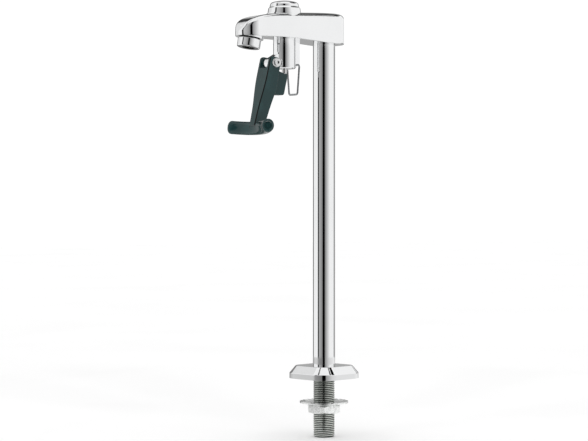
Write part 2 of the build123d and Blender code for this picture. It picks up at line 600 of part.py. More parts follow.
def make_valve():
    """Seat, stem guide, stem, poppet, spring and their seals, all on the barrel's axis."""
    seat = disc(SEAT_R - SCREWED_GAP, SEAT_FOOT_Z, SEAT_TOP_Z, BARREL_Y)
    place("valve_seat", seat - disc(SEAT_ORIFICE_R, SEAT_FOOT_Z, SEAT_TOP_Z, BARREL_Y))

    guide_foot = BARREL_BORE_FOOT_Z
    guide_top = guide_foot + GUIDE_LENGTH
    guide_r = BARREL_BORE_R - SCREWED_GAP
    guide = disc(guide_r, guide_foot, guide_top, BARREL_Y)
    guide -= disc(STEM_R + RUNNING_GAP, guide_foot, guide_top, BARREL_Y)
    stem_rings = []
    stem_ring_mean = STEM_R + RUNNING_GAP + STEM_RING_R
    stem_groove_half = STEM_RING_R + RING_GROOVE_SLACK
    for side in (-1, 1):
        ring_z = (guide_foot + guide_top) / 2 + side * GUIDE_RING_SPACING / 2
        groove_r = stem_ring_mean + STEM_RING_R + FACE_GAP
        guide -= disc(groove_r, ring_z - stem_groove_half, ring_z + stem_groove_half, BARREL_Y)
        stem_rings.append(o_ring(stem_ring_mean, STEM_RING_R, ring_z, BARREL_Y))
    outer_z = (guide_foot + guide_top) / 2
    outer_mean = BARREL_BORE_R - FACE_GAP - GUIDE_RING_R
    outer_half = GUIDE_RING_R + RING_GROOVE_SLACK / 2
    groove_low, groove_high = outer_z - outer_half, outer_z + outer_half
    groove = disc(BARREL_BORE_R, groove_low, groove_high, BARREL_Y)
    groove -= disc(outer_mean - GUIDE_RING_R - FACE_GAP, groove_low, groove_high, BARREL_Y)
    place("stem_guide", guide - groove)
    place("stem_o_rings", Compound(children=stem_rings))
    place("guide_o_ring", o_ring(outer_mean, GUIDE_RING_R, outer_z, BARREL_Y))

    washer_foot = SEAT_TOP_Z + FACE_GAP
    stem_foot = BARREL_FOOT_Z - STEM_PROUD
    tip_top = POPPET_TOP_Z + POPPET_NUT_THICKNESS + STEM_TIP_PROUD
    stem = disc(STEM_R, stem_foot, washer_foot, BARREL_Y)
    stem = chamfer(stem.edges().group_by(Axis.Z)[0], STEM_R / 6)
    stem += disc(STEM_COLLAR_R, washer_foot - STEM_COLLAR_THICKNESS, washer_foot, BARREL_Y)
    stem += disc(STEM_TIP_R, washer_foot, tip_top, BARREL_Y)
    place("push_stem", stem)
    hole_r = STEM_TIP_R + SCREWED_GAP
    washer = disc(SEAT_WASHER_R, washer_foot, POPPET_FOOT_Z, BARREL_Y)
    place("seat_washer", washer - disc(hole_r, washer_foot, POPPET_FOOT_Z, BARREL_Y))
    poppet = disc(POPPET_R, POPPET_FOOT_Z, POPPET_TOP_Z, BARREL_Y)
    poppet = chamfer(poppet.edges().group_by(Axis.Z)[-1], POPPET_THICKNESS / 4)
    place("poppet", poppet - disc(hole_r, POPPET_FOOT_Z, POPPET_TOP_Z, BARREL_Y))
    nut_top = POPPET_TOP_Z + POPPET_NUT_THICKNESS
    nut = Pos(0, BARREL_Y, 0) * hexagon(POPPET_NUT_FLATS, POPPET_TOP_Z, nut_top)
    place("poppet_nut", nut - disc(hole_r, POPPET_TOP_Z, nut_top, BARREL_Y))

    spring_foot = POPPET_TOP_Z + FACE_GAP + SPRING_WIRE_R
    spring_top = CAP_POCKET_TOP_Z - FACE_GAP - SPRING_WIRE_R
    rise = spring_top - spring_foot
    coil = Helix(pitch=rise / SPRING_TURNS, height=rise, radius=SPRING_R)
    wire = sweep(Plane(origin=coil @ 0, z_dir=coil % 0) * Circle(SPRING_WIRE_R), coil)
    place("return_spring", Pos(0, BARREL_Y, spring_foot) * wire)
    print("spring gap between turns", round(rise / SPRING_TURNS - 2 * SPRING_WIRE_R, 2), "mm")


def make_outlet():
    neck_top = -NOZZLE_SOCKET_DEPTH
    mouth = NOZZLE_LENGTH
    body = along_outlet(NOZZLE_R, NOZZLE_SHADOW_GAP, mouth)
    rims = [e for e in body.edges() if e.geom_type == GeomType.CIRCLE]
    body = fillet(rims, NOZZLE_EDGE_ROUND)
    body += along_outlet(NOZZLE_NECK_R, neck_top, NOZZLE_SHADOW_GAP + NOZZLE_EDGE_ROUND)
    body -= along_outlet(NOZZLE_BORE_R, neck_top, mouth - NOZZLE_LIP)
    body -= along_outlet(NOZZLE_MOUTH_R, mouth - NOZZLE_LIP, mouth)
    place("outlet_nozzle", body)
    washer_top = neck_top - NOZZLE_WASHER_THICKNESS - FACE_GAP
    washer = along_outlet(NOZZLE_NECK_R - FACE_GAP, washer_top, neck_top - FACE_GAP)
    place("nozzle_washer", washer - along_outlet(NOZZLE_BORE_R, washer_top, neck_top - FACE_GAP))

    insert_r = NOZZLE_BORE_R - SCREWED_GAP
    foot = mouth - NOZZLE_LIP - FACE_GAP
    top = foot - STRAIGHTENER_HEIGHT
    insert = along_outlet(insert_r, top, foot) - along_outlet(insert_r - STRAIGHTENER_WALL, top, foot)
    for number in range(STRAIGHTENER_RIBS // 2):
        rib = Box(2 * insert_r - STRAIGHTENER_WALL, STRAIGHTENER_RIB, STRAIGHTENER_HEIGHT)
        turned = Rot(0, 0, number * 360 / STRAIGHTENER_RIBS) * rib
        insert += OUTLET_PLANE * Pos(0, 0, (top + foot) / 2) * turned
    place("flow_straightener", insert)
    screen_foot = top - FACE_GAP
    screen_top = screen_foot - SCREEN_THICKNESS
    screen = along_outlet(insert_r, screen_top, screen_foot)
    for ring in range(1, SCREEN_RINGS + 1):
        for spot in range(6 * ring):
            outwards = Pos(ring * SCREEN_RING_STEP, 0, (screen_top + screen_foot) / 2)
            hole = Rot(0, 0, spot * 60 / ring) * outwards * Cylinder(SCREEN_HOLE_R, 2 * SCREEN_THICKNESS)
            screen -= OUTLET_PLANE * hole
    place("outlet_screen", screen)


def make_pivot():
    """The cross screw, its nut and the two washers beside the lug."""
    cheek = LEVER_HALF_TOP + SLIDING_FACE_GAP
    nut_end = -cheek - PIVOT_NUT_THICKNESS
    head = cross_bar(PIVOT_HEAD_R, cheek, cheek + PIVOT_HEAD_HEIGHT, PIVOT_Y, PIVOT_Z)
    head = fillet(head.edges().group_by(Axis.X)[-1], PIVOT_HEAD_ROUND)
    screw = head + cross_bar(PIVOT_R, nut_end - PIVOT_TIP_PROUD, cheek, PIVOT_Y, PIVOT_Z)
    socket_start = cheek + PIVOT_HEAD_HEIGHT - PIVOT_SOCKET_DEPTH
    across = Pos(socket_start, PIVOT_Y, PIVOT_Z) * Rot(0, 90, 0)
    screw -= across * hexagon(PIVOT_SOCKET_FLATS, 0, PIVOT_SOCKET_DEPTH)
    place("pivot_screw", screw)
    sideways = Pos(nut_end, PIVOT_Y, PIVOT_Z) * Rot(0, 90, 0)
    nut = sideways * hexagon(PIVOT_NUT_FLATS, 0, PIVOT_NUT_THICKNESS)
    nut -= cross_bar(PIVOT_R + SCREWED_GAP, nut_end, -cheek, PIVOT_Y, PIVOT_Z)
    place("pivot_nut", nut)
    washers = []
    inner = LUG_THICKNESS / 2 + FACE_GAP
    outer = LEVER_HALF_TOP - LEVER_WALL - FACE_GAP
    for side in (-1, 1):
        low, high = sorted((side * inner, side * outer))
        washer = cross_bar(PIVOT_WASHER_R, low, high, PIVOT_Y, PIVOT_Z)
        washers.append(washer - cross_bar(PIVOT_R + SCREWED_GAP, low, high, PIVOT_Y, PIVOT_Z))
    place("pivot_washers", Compound(children=washers))


def lever_front(drop):
    """Y of the lever's straight front face, a distance below the pivot."""
    share = (drop + LEVER_TOP) / (LEVER_END_DROP + LEVER_TOP)
    return LEVER_FRONT_TOP + share * (LEVER_FRONT_FOOT - LEVER_FRONT_TOP)


def lever_width_face(inset, low_drop):
    """The lever from the front, drawn in (X, Z) from the pivot, its sides moved in by an inset."""
    half_top = LEVER_HALF_TOP - inset
    half_foot = LEVER_HALF_FOOT - inset
    top_line = LEVER_TOP + LEVER_CUT_MARGIN
    cheek = Line((half_top, top_line), (half_top, -LEVER_BACK_TOP_DROP))
    taper = Spline(
        (half_top, -LEVER_BACK_TOP_DROP),
        (LEVER_HALF_MIDDLE - inset, -LEVER_MIDDLE_DROP),
        (LEVER_HALF_KNEE - inset, -LEVER_KNEE_DROP),
        (half_foot, -low_drop),
        tangents=[(0, -1), (LEVER_HALF_FOOT - LEVER_HALF_KNEE, LEVER_KNEE_DROP - low_drop)],
    )
    right = cheek + taper
    left = mirror(right, Plane.YZ)
    top = Line((half_top, top_line), (-half_top, top_line))
    foot = Line((half_foot, -low_drop), (-half_foot, -low_drop))
    return make_face(Plane.XZ * (right + left + top + foot))


def through_y(face):
    """A front view made into a bar along Y that is longer than the lever is deep."""
    return Pos(0, LEVER_BLANK, 0) * extrude(face, 2 * LEVER_BLANK, dir=(0, -1, 0))


def boss_point(angle):
    """A point in (Y, Z) on the round of the lever's cheeks about the pivot."""
    return (LEVER_BOSS_R * math.cos(math.radians(angle)), LEVER_BOSS_R * math.sin(math.radians(angle)))


def make_lever():
    """A moulded channel with two cheeks, a heel rib inside it and the push pad across its foot."""
    boss_end = boss_point(LEVER_BOSS_END_ANGLE)
    edge = Polyline(
        boss_point(90),
        (LEVER_FRONT_TOP, LEVER_TOP),
        (LEVER_FRONT_FOOT, -LEVER_END_DROP),
        (LEVER_BACK_FOOT, -LEVER_END_DROP),
        (LEVER_BACK_KNEE, -LEVER_MIDDLE_DROP),
        (LEVER_BACK_TOP, -LEVER_BACK_TOP_DROP),
        boss_end,
    )
    round_back = ThreePointArc(boss_end, boss_point(LEVER_BOSS_MID_ANGLE), boss_point(90))
    side = make_face(Plane.YZ * (edge + round_back))
    top_corner = side.vertices().sort_by(Axis.Z)[-1]
    side = fillet(top_corner, LEVER_CORNER_ROUND)
    channel = x_slab(side, LEVER_BLANK) & through_y(lever_width_face(0, LEVER_END_DROP))
    outer_edges = [
        e for e in channel.edges()
        if abs((e @ 0.5).X) > LEVER_HALF_FOOT / 2 and abs((e % 0.5).X) < 0.5
        and (e @ 0.5).Z > -LEVER_FOOT_DROP
    ]
    channel = fillet(outer_edges, LEVER_EDGE_ROUND)
    cut_top = LEVER_TOP + LEVER_CUT_MARGIN
    web_inner = yz_face([
        (lever_front(-cut_top) + LEVER_WEB_WALL, cut_top),
        (lever_front(LEVER_FOOT_DROP) + LEVER_WEB_WALL, -LEVER_FOOT_DROP),
        (LEVER_BLANK, -LEVER_FOOT_DROP),
        (LEVER_BLANK, cut_top),
    ])
    channel -= x_slab(web_inner, LEVER_BLANK) & through_y(lever_width_face(LEVER_WALL, LEVER_FOOT_DROP))
    notch = Box(
        2 * (LEVER_HALF_TOP - LEVER_WALL), 2 * LEVER_BLANK, LEVER_BLANK,
        align=(Align.CENTER, Align.CENTER, Align.MIN),
    )
    channel -= Pos(0, 0, -LEVER_NOTCH_DROP) * notch

    heel_side = yz_face([
        (lever_front(HEEL_INNER_DROP) + LEVER_WEB_WALL / 2, -HEEL_INNER_DROP),
        (HEEL_INNER_REACH, -HEEL_INNER_DROP),
        (HEEL_LEDGE_REACH, -HEEL_TOP_DROP),
        (HEEL_REACH, -HEEL_TOP_DROP),
        (HEEL_REACH, -HEEL_CORNER_DROP),
        (HEEL_WAIST_REACH, -HEEL_WAIST_DROP),
        (HEEL_FOOT_REACH, -HEEL_FOOT_DROP),
        (lever_front(HEEL_FOOT_DROP) + LEVER_WEB_WALL / 2, -HEEL_FOOT_DROP),
    ])
    foot_corner = heel_side.vertices().filter_by(lambda v: v.Y > 0).sort_by(Axis.Z)[0]
    heel = x_slab(fillet(foot_corner, HEEL_FOOT_ROUND), HEEL_THICKNESS / 2)
    heel_edges = [
        e for e in heel.edges()
        if (e @ 0.5).Y > LEVER_BACK_TOP and (e @ 0.5).Z < -HEEL_TOP_DROP - HEEL_EDGE_ROUND
    ]
    heel = fillet(heel_edges, HEEL_EDGE_ROUND)
    lever = channel + heel + make_pad()
    lever -= cross_bar(PIVOT_R + RUNNING_GAP, -LEVER_BLANK, LEVER_BLANK, 0, 0)
    place("lever", Pos(0, PIVOT_Y, PIVOT_Z) * lever)


def make_pad():
    """The crescent pad: an oval section turned about an axis in front of the lever, its ends dished."""
    lean = math.radians(PAD_LEAN)
    down = Vector(0, -math.sin(lean), -math.cos(lean))
    forward = Vector(0, -math.cos(lean), math.sin(lean))
    centre = Vector(0, PAD_CENTRE_BACK, -PAD_CENTRE_DROP)
    arc_centre = centre + forward * PAD_ARC_R
    half_angle = math.degrees(math.asin(PAD_HALF_SPAN / PAD_ARC_R))
    axis = Axis(origin=arc_centre, direction=down)
    section_plane = Plane(origin=centre, x_dir=forward, z_dir=(1, 0, 0))
    section = section_plane * Ellipse(PAD_DEPTH / 2, PAD_HEIGHT / 2)
    pad = revolve(section.rotate(axis, -half_angle), axis, 2 * half_angle)
    ends = [e for e in pad.edges() if e.geom_type == GeomType.ELLIPSE]
    pad = fillet(ends, PAD_END_ROUND)
    for side in (-1, 1):
        turn = math.radians(half_angle) * side
        outward = Vector(1, 0, 0) * math.cos(turn) * side + forward * math.sin(turn) * side
        across = Vector(PAD_ARC_R * math.sin(turn), 0, 0)
        middle = arc_centre - forward * (PAD_ARC_R * math.cos(turn)) + across
        dish_plane = Plane(origin=middle, x_dir=down, z_dir=outward)
        pad -= dish_plane * Cylinder(PAD_DISH_R, 2 * PAD_DISH_DEPTH)
    return pad


def make_bail():
    """The wire bail: two ends in the web's cross hole, two legs and a foot."""
    route = FilletPolyline(
        (BAIL_END_SPLIT / 2, BAIL_Y, BAIL_Z),
        (BAIL_HALF_TOP, BAIL_Y, BAIL_Z),
        (BAIL_HALF_FOOT, BAIL_Y, BAIL_Z - BAIL_DROP),
        (-BAIL_HALF_FOOT, BAIL_Y, BAIL_Z - BAIL_DROP),
        (-BAIL_HALF_TOP, BAIL_Y, BAIL_Z),
        (-BAIL_END_SPLIT / 2, BAIL_Y, BAIL_Z),
        radius=BAIL_BEND_R,
    )
    section = Plane(origin=route @ 0, z_dir=route % 0) * Circle(BAIL_WIRE_R)
    place("wire_bail", sweep(section, route))


make_flange()
make_shank()
make_washer()
make_nut()
make_column()
make_head_body()
make_cap()
make_valve()
make_outlet()
make_pivot()
make_lever()
make_bail()

os.makedirs("parts", exist_ok=True)
for name, shape in PARTS.items():
    export_step(shape, f"parts/{name}.step")
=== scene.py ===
import json
import math

import bmesh
import bpy
from mathutils import Matrix, Vector


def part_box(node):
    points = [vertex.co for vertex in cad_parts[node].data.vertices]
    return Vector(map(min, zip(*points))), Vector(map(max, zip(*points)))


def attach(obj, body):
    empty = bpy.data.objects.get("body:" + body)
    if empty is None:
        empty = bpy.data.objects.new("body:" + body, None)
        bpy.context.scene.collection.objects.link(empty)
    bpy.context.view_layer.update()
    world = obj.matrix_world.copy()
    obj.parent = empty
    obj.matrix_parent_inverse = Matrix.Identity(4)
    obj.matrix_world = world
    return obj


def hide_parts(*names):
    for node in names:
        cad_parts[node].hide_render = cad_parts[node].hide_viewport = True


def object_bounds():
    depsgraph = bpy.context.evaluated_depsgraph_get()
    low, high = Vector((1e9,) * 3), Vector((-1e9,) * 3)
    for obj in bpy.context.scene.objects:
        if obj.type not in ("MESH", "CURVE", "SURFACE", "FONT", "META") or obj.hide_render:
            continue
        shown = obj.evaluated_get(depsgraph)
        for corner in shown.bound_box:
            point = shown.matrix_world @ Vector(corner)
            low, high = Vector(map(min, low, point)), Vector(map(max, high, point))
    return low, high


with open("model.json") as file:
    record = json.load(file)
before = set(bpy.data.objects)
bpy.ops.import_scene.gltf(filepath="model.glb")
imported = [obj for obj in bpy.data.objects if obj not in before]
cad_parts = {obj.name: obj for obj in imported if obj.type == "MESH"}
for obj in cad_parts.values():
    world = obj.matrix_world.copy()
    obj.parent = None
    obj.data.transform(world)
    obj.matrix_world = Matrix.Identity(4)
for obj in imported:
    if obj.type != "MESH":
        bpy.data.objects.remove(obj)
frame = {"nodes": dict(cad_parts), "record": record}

CAD_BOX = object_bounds()

bl_info = {
    "name": "Push-back glass filler",
    "version": (1, 0, 0),
    "blender": (4, 5, 0),
    "location": "3D View > Sidebar > Glass filler",
    "description": "Builds a deck-mounted push-back glass filler around its packed CAD frame",
    "category": "Add Mesh",
}

MM = 0.001
UP = Vector((0, 0, 1))
FULL_TURN = 2 * math.pi
# Points of a piece nearer to each other than this are one point
TOUCH = 0.001 * MM
# Points nearer than this to a height or a radius lie on it, and turns of a thread nearer than this meet
NEAR = 0.01 * MM
# Points nearer than this to a cutting plane lie on it
ON_PLANE = 0.0001 * MM

# The photograph's camera: its direction from the object, and to the right in the picture
VIEW_TURN = math.radians(55)
TO_CAMERA = Vector((math.sin(VIEW_TURN), -math.cos(VIEW_TURN), 0))
TO_RIGHT = Vector((math.cos(VIEW_TURN), math.sin(VIEW_TURN), 0))

# The outlet's face on its axis, and how far that axis leans forward
OUTLET_PLACE = (0, -89.1 * MM, 335.1 * MM)
OUTLET_LEAN = math.radians(10)

# The lever's straight front, as (y, z) of its foot and its top
LEVER_FRONT_FOOT = (-86.9 * MM, 250.6 * MM)
LEVER_FRONT_TOP = (-70.6 * MM, 318.4 * MM)
# The lever's half width in centimetres at shares of the way up that front
LEVER_HALF_WIDTHS = (
    (0, 0.46), (0.17, 0.515), (0.292, 0.59), (0.398, 0.70), (0.506, 0.81), (0.627, 0.895), (0.742, 0.93),
)
# The painted shade line down the front's edges is full within the first distance of an edge, and gone at the
# second
LEVER_SHADE_LINE = (0.7 * MM, 1.2 * MM)

# The floor touches the shank's foot
FLOOR_HEIGHT = CAD_BOX[0][2]
# The wall's top over the hood's centre, and the hood's foot and top as (out from the axis, up from that
# centre), all as shares of the wall's distance
WALL_TOP = 0.67
HOOD_OUTLINE = ((0.83, 0.56), (0.37, 0.93))

# The studio's light at each height, as (turn to the right of the camera in degrees, brightness)
WALL_LIGHT = (
    (-164, 0.5), (-162, 0.05), (-154, 0.05), (-152, 0.5), (-149, 0.5), (-147, 0.08), (-136, 0.08),
    (-130, 1.0), (-69, 1.0), (-67, 0.0), (-56, 0.0), (-54, 0.46), (-35, 0.38), (-17, 0.24), (-14, 0.0),
    (6, 0.0), (9, 0.22), (60, 1.0), (118, 1.0), (124, 0.08), (137, 0.08), (143, 0.9), (153, 0.6),
    (156, 0.05), (163, 0.05), (165, 0.5),
)
ARM_WALL_LIGHT = (
    (-180, 0.55), (-169, 0.55), (-164, 0.05), (-147, 0.05), (-139, 0.7), (-128, 0.84), (-104, 0.84),
    (-96, 1.0), (-69, 1.0), (-67, 0.0), (-58, 0.0), (-56, 0.6), (-35, 0.5), (-14, 0.3), (-10, 0.0),
    (2, 0.0), (5, 0.3), (50, 1.0),
)
HOOD_LIGHT = (
    (-180, 0.12), (-138, 0.12), (-130, 1.0), (-78, 1.0), (-76, 0.0), (-68, 0.0), (-66, 1.0), (66, 1.0),
    (68, 0.0), (76, 0.0), (78, 1.0), (81, 1.0), (84, 0.0), (116, 0.0), (124, 0.2), (180, 0.12),
)
LOW_WALL_LIGHT = (
    (-180, 0.5), (-150, 0.25), (-128, 0.55), (-95, 0.70), (-72, 0.62), (-60, 0.32), (-16, 0.20), (-12, 0.0),
    (7, 0.0), (10, 0.30), (50, 0.72), (90, 0.85), (130, 0.95), (150, 0.6), (165, 0.2), (180, 0.5),
)
NEAR_FLOOR_LIGHT = (
    (-180, 0.5), (-150, 0.2), (-140, 0.9), (-30, 0.95), (-14, 0.5), (-10, 0.1), (5, 0.1), (9, 0.5),
    (30, 1.0), (120, 1.0), (128, 0.2), (136, 0.2), (143, 0.9), (180, 0.5),
)


# Settings

class PieceSettings(bpy.types.PropertyGroup):
    column_radius: bpy.props.FloatProperty(
        name="Column radius", description="Outside radius of the column tube", unit="LENGTH", default=0.0111)
    column_bore: bpy.props.FloatProperty(
        name="Column bore", description="Inside radius of the column tube", unit="LENGTH", default=0.0096)
    thread_radius: bpy.props.FloatProperty(
        name="Thread radius", description="Over the crests of the shank's thread",
        unit="LENGTH", default=0.01067)
    thread_depth: bpy.props.FloatProperty(
        name="Thread depth", description="From the thread's crest to its root",
        unit="LENGTH", default=0.00075)
    thread_pitch: bpy.props.FloatProperty(
        name="Thread pitch", description="Rise of the thread in one turn", unit="LENGTH", default=0.001814)
    shank_bore: bpy.props.FloatProperty(
        name="Shank bore", description="Radius of the water way up the shank", unit="LENGTH", default=0.0065)
    shank_chamfer: bpy.props.FloatProperty(
        name="Shank chamfer", description="Width of the chamfer at the shank's foot",
        unit="LENGTH", default=0.0014)
    washer_hole: bpy.props.FloatProperty(
        name="Washer hole", description="Radius of the lock washer's hole", unit="LENGTH", default=0.0132)
    washer_thickness: bpy.props.FloatProperty(
        name="Washer thickness", description="Thickness of the lock washer's sheet",
        unit="LENGTH", default=0.0015)
    washer_teeth: bpy.props.IntProperty(
        name="Washer teeth", description="Number of teeth on the lock washer's rim", min=3, default=24)
    tooth_length: bpy.props.FloatProperty(
        name="Tooth length", description="How far the teeth reach in from the rim",
        unit="LENGTH", default=0.0026)
    tooth_rise: bpy.props.FloatProperty(
        name="Tooth rise", description="How far a tooth's raised side stands up",
        unit="LENGTH", default=0.0006)
    nut_flats: bpy.props.FloatProperty(
        name="Nut size", description="Across the flats of the lock nut", unit="LENGTH", default=0.0314)
    nut_turn: bpy.props.FloatProperty(
        name="Nut turn", description="Where one of the lock nut's corners points", subtype="ANGLE",
        default=math.radians(-35))


class FinishSettings(bpy.types.PropertyGroup):
    plate_tint: bpy.props.FloatVectorProperty(
        name="Plate tint", description="Colour that the chrome plate reflects head on",
        subtype="COLOR", size=3, min=0, max=1, default=(0.86, 0.865, 0.87))
    plate_roughness: bpy.props.FloatProperty(
        name="Plate roughness", description="Roughness of the polished plate where it is clean",
        min=0, max=1, default=0.045)
    dull_plate_tint: bpy.props.FloatVectorProperty(
        name="Dull plate tint", description="Colour of the unpolished plate on the shank",
        subtype="COLOR", size=3, min=0, max=1, default=(0.72, 0.745, 0.71))
    bright_plate_tint: bpy.props.FloatVectorProperty(
        name="Bright plate tint", description="Colour of the plate on the lock nut and the lock washer",
        subtype="COLOR", size=3, min=0, max=1, default=(0.93, 0.94, 0.93))
    # Painted shade: the colour that the roots of the shank's thread are darkened to
    painted_root_shade_colour: bpy.props.FloatVectorProperty(
        name="Painted root shade colour", description="Colour of the painted shade in the roots of the shank's thread",
        subtype="COLOR", size=3, min=0, max=1, default=(0.09, 0.10, 0.09))
    steel_colour: bpy.props.FloatVectorProperty(
        name="Steel colour", description="Colour of the turned stainless pieces",
        subtype="COLOR", size=3, min=0, max=1, default=(0.58, 0.585, 0.59))
    wire_colour: bpy.props.FloatVectorProperty(
        name="Wire colour", description="Colour of the bail's drawn wire",
        subtype="COLOR", size=3, min=0, max=1, default=(0.34, 0.35, 0.36))
    brass_colour: bpy.props.FloatVectorProperty(
        name="Brass colour", description="Colour of the bare brass inside the valve",
        subtype="COLOR", size=3, min=0, max=1, default=(0.66, 0.47, 0.20))
    lever_colour: bpy.props.FloatVectorProperty(
        name="Lever colour", description="Colour of the moulded lever and its pad",
        subtype="COLOR", size=3, min=0, max=1, default=(0.010, 0.034, 0.035))
    rubber_colour: bpy.props.FloatVectorProperty(
        name="Rubber colour", description="Colour of the gasket and the o-rings",
        subtype="COLOR", size=3, min=0, max=1, default=(0.02, 0.02, 0.02))
    plastic_colour: bpy.props.FloatVectorProperty(
        name="Plastic colour", description="Colour of the flow straightener and the pivot washers",
        subtype="COLOR", size=3, min=0, max=1, default=(0.78, 0.78, 0.75))


class StageSettings(bpy.types.PropertyGroup):
    camera_distance: bpy.props.FloatProperty(
        name="Camera distance", description="From the column's axis to the camera",
        unit="LENGTH", default=1.876)
    camera_height: bpy.props.FloatProperty(
        name="Camera height", description="Height of the camera above the deck plane",
        unit="LENGTH", default=0.178)
    camera_shift_left: bpy.props.FloatProperty(
        name="Camera shift to the left", description="How far the camera stands to the left of the column",
        unit="LENGTH", default=0.030)
    lens: bpy.props.FloatProperty(
        name="Lens", description="Focal length on a 36 mm wide sensor, in millimetres", default=114.86)
    camera_dip: bpy.props.FloatProperty(
        name="Camera dip", description="How far the camera looks down", subtype="ANGLE",
        default=math.radians(0.63))
    floor_size: bpy.props.FloatProperty(
        name="Floor size", description="Side of the square floor", unit="LENGTH", default=14.0)
    card_radius: bpy.props.FloatProperty(
        name="Card radius", description="Distance of the studio's wall from the column",
        unit="LENGTH", default=0.8)
    near_card_radius: bpy.props.FloatProperty(
        name="Near card radius", description="Distance of the low wall by the shank from the column",
        unit="LENGTH", default=0.28)


# Shared node groups

def add_socket(group, name, way, kind, default=None):
    """Gives a node group an input or an output."""
    socket = group.interface.new_socket(name=name, in_out=way, socket_type=kind)
    if default is not None:
        socket.default_value = default


def add_node(tree, kind, label=None, **settings):
    """Adds a node with a label and its own settings."""
    node = tree.nodes.new(kind)
    if label:
        node.label = label
    for key, value in settings.items():
        setattr(node, key, value)
    return node


def set_stops(node, stops):
    """Gives a colour ramp its greys, as (place from 0 to 1, value)."""
    elements = node.color_ramp.elements
    while len(elements) < len(stops):
        elements.new(0.5)
    for element, (place, value) in zip(elements, stops):
        element.position = place
        element.color = (value, value, value, 1)


def smudge_group():
    """Broad soft marks and fine rubbing marks, as two masks and one height."""
    name = "Smudges and rubbing"
    if name in bpy.data.node_groups:
        return bpy.data.node_groups[name]
    group = bpy.data.node_groups.new(name, "ShaderNodeTree")
    add_socket(group, "Vector", "INPUT", "NodeSocketVector")
    add_socket(group, "Smudge scale", "INPUT", "NodeSocketFloat", 30.0)
    add_socket(group, "Rub scale", "INPUT", "NodeSocketFloat", 900.0)
    add_socket(group, "Smudge", "OUTPUT", "NodeSocketFloat")
    add_socket(group, "Rub", "OUTPUT", "NodeSocketFloat")
    add_socket(group, "Height", "OUTPUT", "NodeSocketFloat")
    start = add_node(group, "NodeGroupInput")
    end = add_node(group, "NodeGroupOutput")
    broad = add_node(group, "ShaderNodeTexNoise", "Broad marks")
    broad.inputs["Detail"].default_value = 3.0
    broad.inputs["Distortion"].default_value = 0.6
    fine = add_node(group, "ShaderNodeTexNoise", "Fine marks")
    fine.inputs["Detail"].default_value = 2.0
    soft = add_node(group, "ShaderNodeMapRange", "Smudge edge", interpolation_type="SMOOTHSTEP")
    soft.inputs["From Min"].default_value = 0.42
    soft.inputs["From Max"].default_value = 0.72
    both = add_node(group, "ShaderNodeMath", "Height", operation="MULTIPLY")
    link = group.links.new
    link(start.outputs["Vector"], broad.inputs["Vector"])
    link(start.outputs["Vector"], fine.inputs["Vector"])
    link(start.outputs["Smudge scale"], broad.inputs["Scale"])
    link(start.outputs["Rub scale"], fine.inputs["Scale"])
    link(broad.outputs["Fac"], soft.inputs["Value"])
    link(soft.outputs["Result"], end.inputs["Smudge"])
    link(fine.outputs["Fac"], end.inputs["Rub"])
    link(broad.outputs["Fac"], both.inputs[0])
    link(fine.outputs["Fac"], both.inputs[1])
    link(both.outputs["Value"], end.inputs["Height"])
    return group


def turning_group():
    """Fine rings left by a lathe, running round the upright axis."""
    name = "Turning marks"
    if name in bpy.data.node_groups:
        return bpy.data.node_groups[name]
    group = bpy.data.node_groups.new(name, "ShaderNodeTree")
    add_socket(group, "Vector", "INPUT", "NodeSocketVector")
    add_socket(group, "Scale", "INPUT", "NodeSocketFloat", 400.0)
    add_socket(group, "Rings", "OUTPUT", "NodeSocketFloat")
    start = add_node(group, "NodeGroupInput")
    end = add_node(group, "NodeGroupOutput")
    stretch = add_node(group, "ShaderNodeMapping", "Stretch round the axis")
    stretch.inputs["Scale"].default_value = (0.06, 0.06, 1.0)
    noise = add_node(group, "ShaderNodeTexNoise", "Ring depth")
    noise.inputs["Detail"].default_value = 4.0
    noise.inputs["Roughness"].default_value = 0.7
    link = group.links.new
    link(start.outputs["Vector"], stretch.inputs["Vector"])
    link(stretch.outputs["Vector"], noise.inputs["Vector"])
    link(start.outputs["Scale"], noise.inputs["Scale"])
    link(noise.outputs["Fac"], end.inputs["Rings"])
    return group


def hollow_group():
    """How far a turned surface lies in from its crests to its roots, from 0 to 1."""
    name = "Hollows of a turned piece"
    if name in bpy.data.node_groups:
        return bpy.data.node_groups[name]
    group = bpy.data.node_groups.new(name, "ShaderNodeTree")
    add_socket(group, "Vector", "INPUT", "NodeSocketVector")
    add_socket(group, "Root radius", "INPUT", "NodeSocketFloat", 0.0099)
    add_socket(group, "Crest radius", "INPUT", "NodeSocketFloat", 0.0107)
    add_socket(group, "Hollow", "OUTPUT", "NodeSocketFloat")
    start = add_node(group, "NodeGroupInput")
    end = add_node(group, "NodeGroupOutput")
    flat = add_node(group, "ShaderNodeVectorMath", "Level part", operation="MULTIPLY")
    flat.inputs[1].default_value = (1, 1, 0)
    radius = add_node(group, "ShaderNodeVectorMath", "Radius", operation="LENGTH")
    depth = add_node(group, "ShaderNodeMapRange", "Depth", interpolation_type="SMOOTHSTEP")
    depth.inputs["To Min"].default_value = 1.0
    depth.inputs["To Max"].default_value = 0.0
    link = group.links.new
    link(start.outputs["Vector"], flat.inputs[0])
    link(flat.outputs["Vector"], radius.inputs[0])
    link(radius.outputs["Value"], depth.inputs["Value"])
    link(start.outputs["Root radius"], depth.inputs["From Min"])
    link(start.outputs["Crest radius"], depth.inputs["From Max"])
    link(depth.outputs["Result"], end.inputs["Hollow"])
    return group


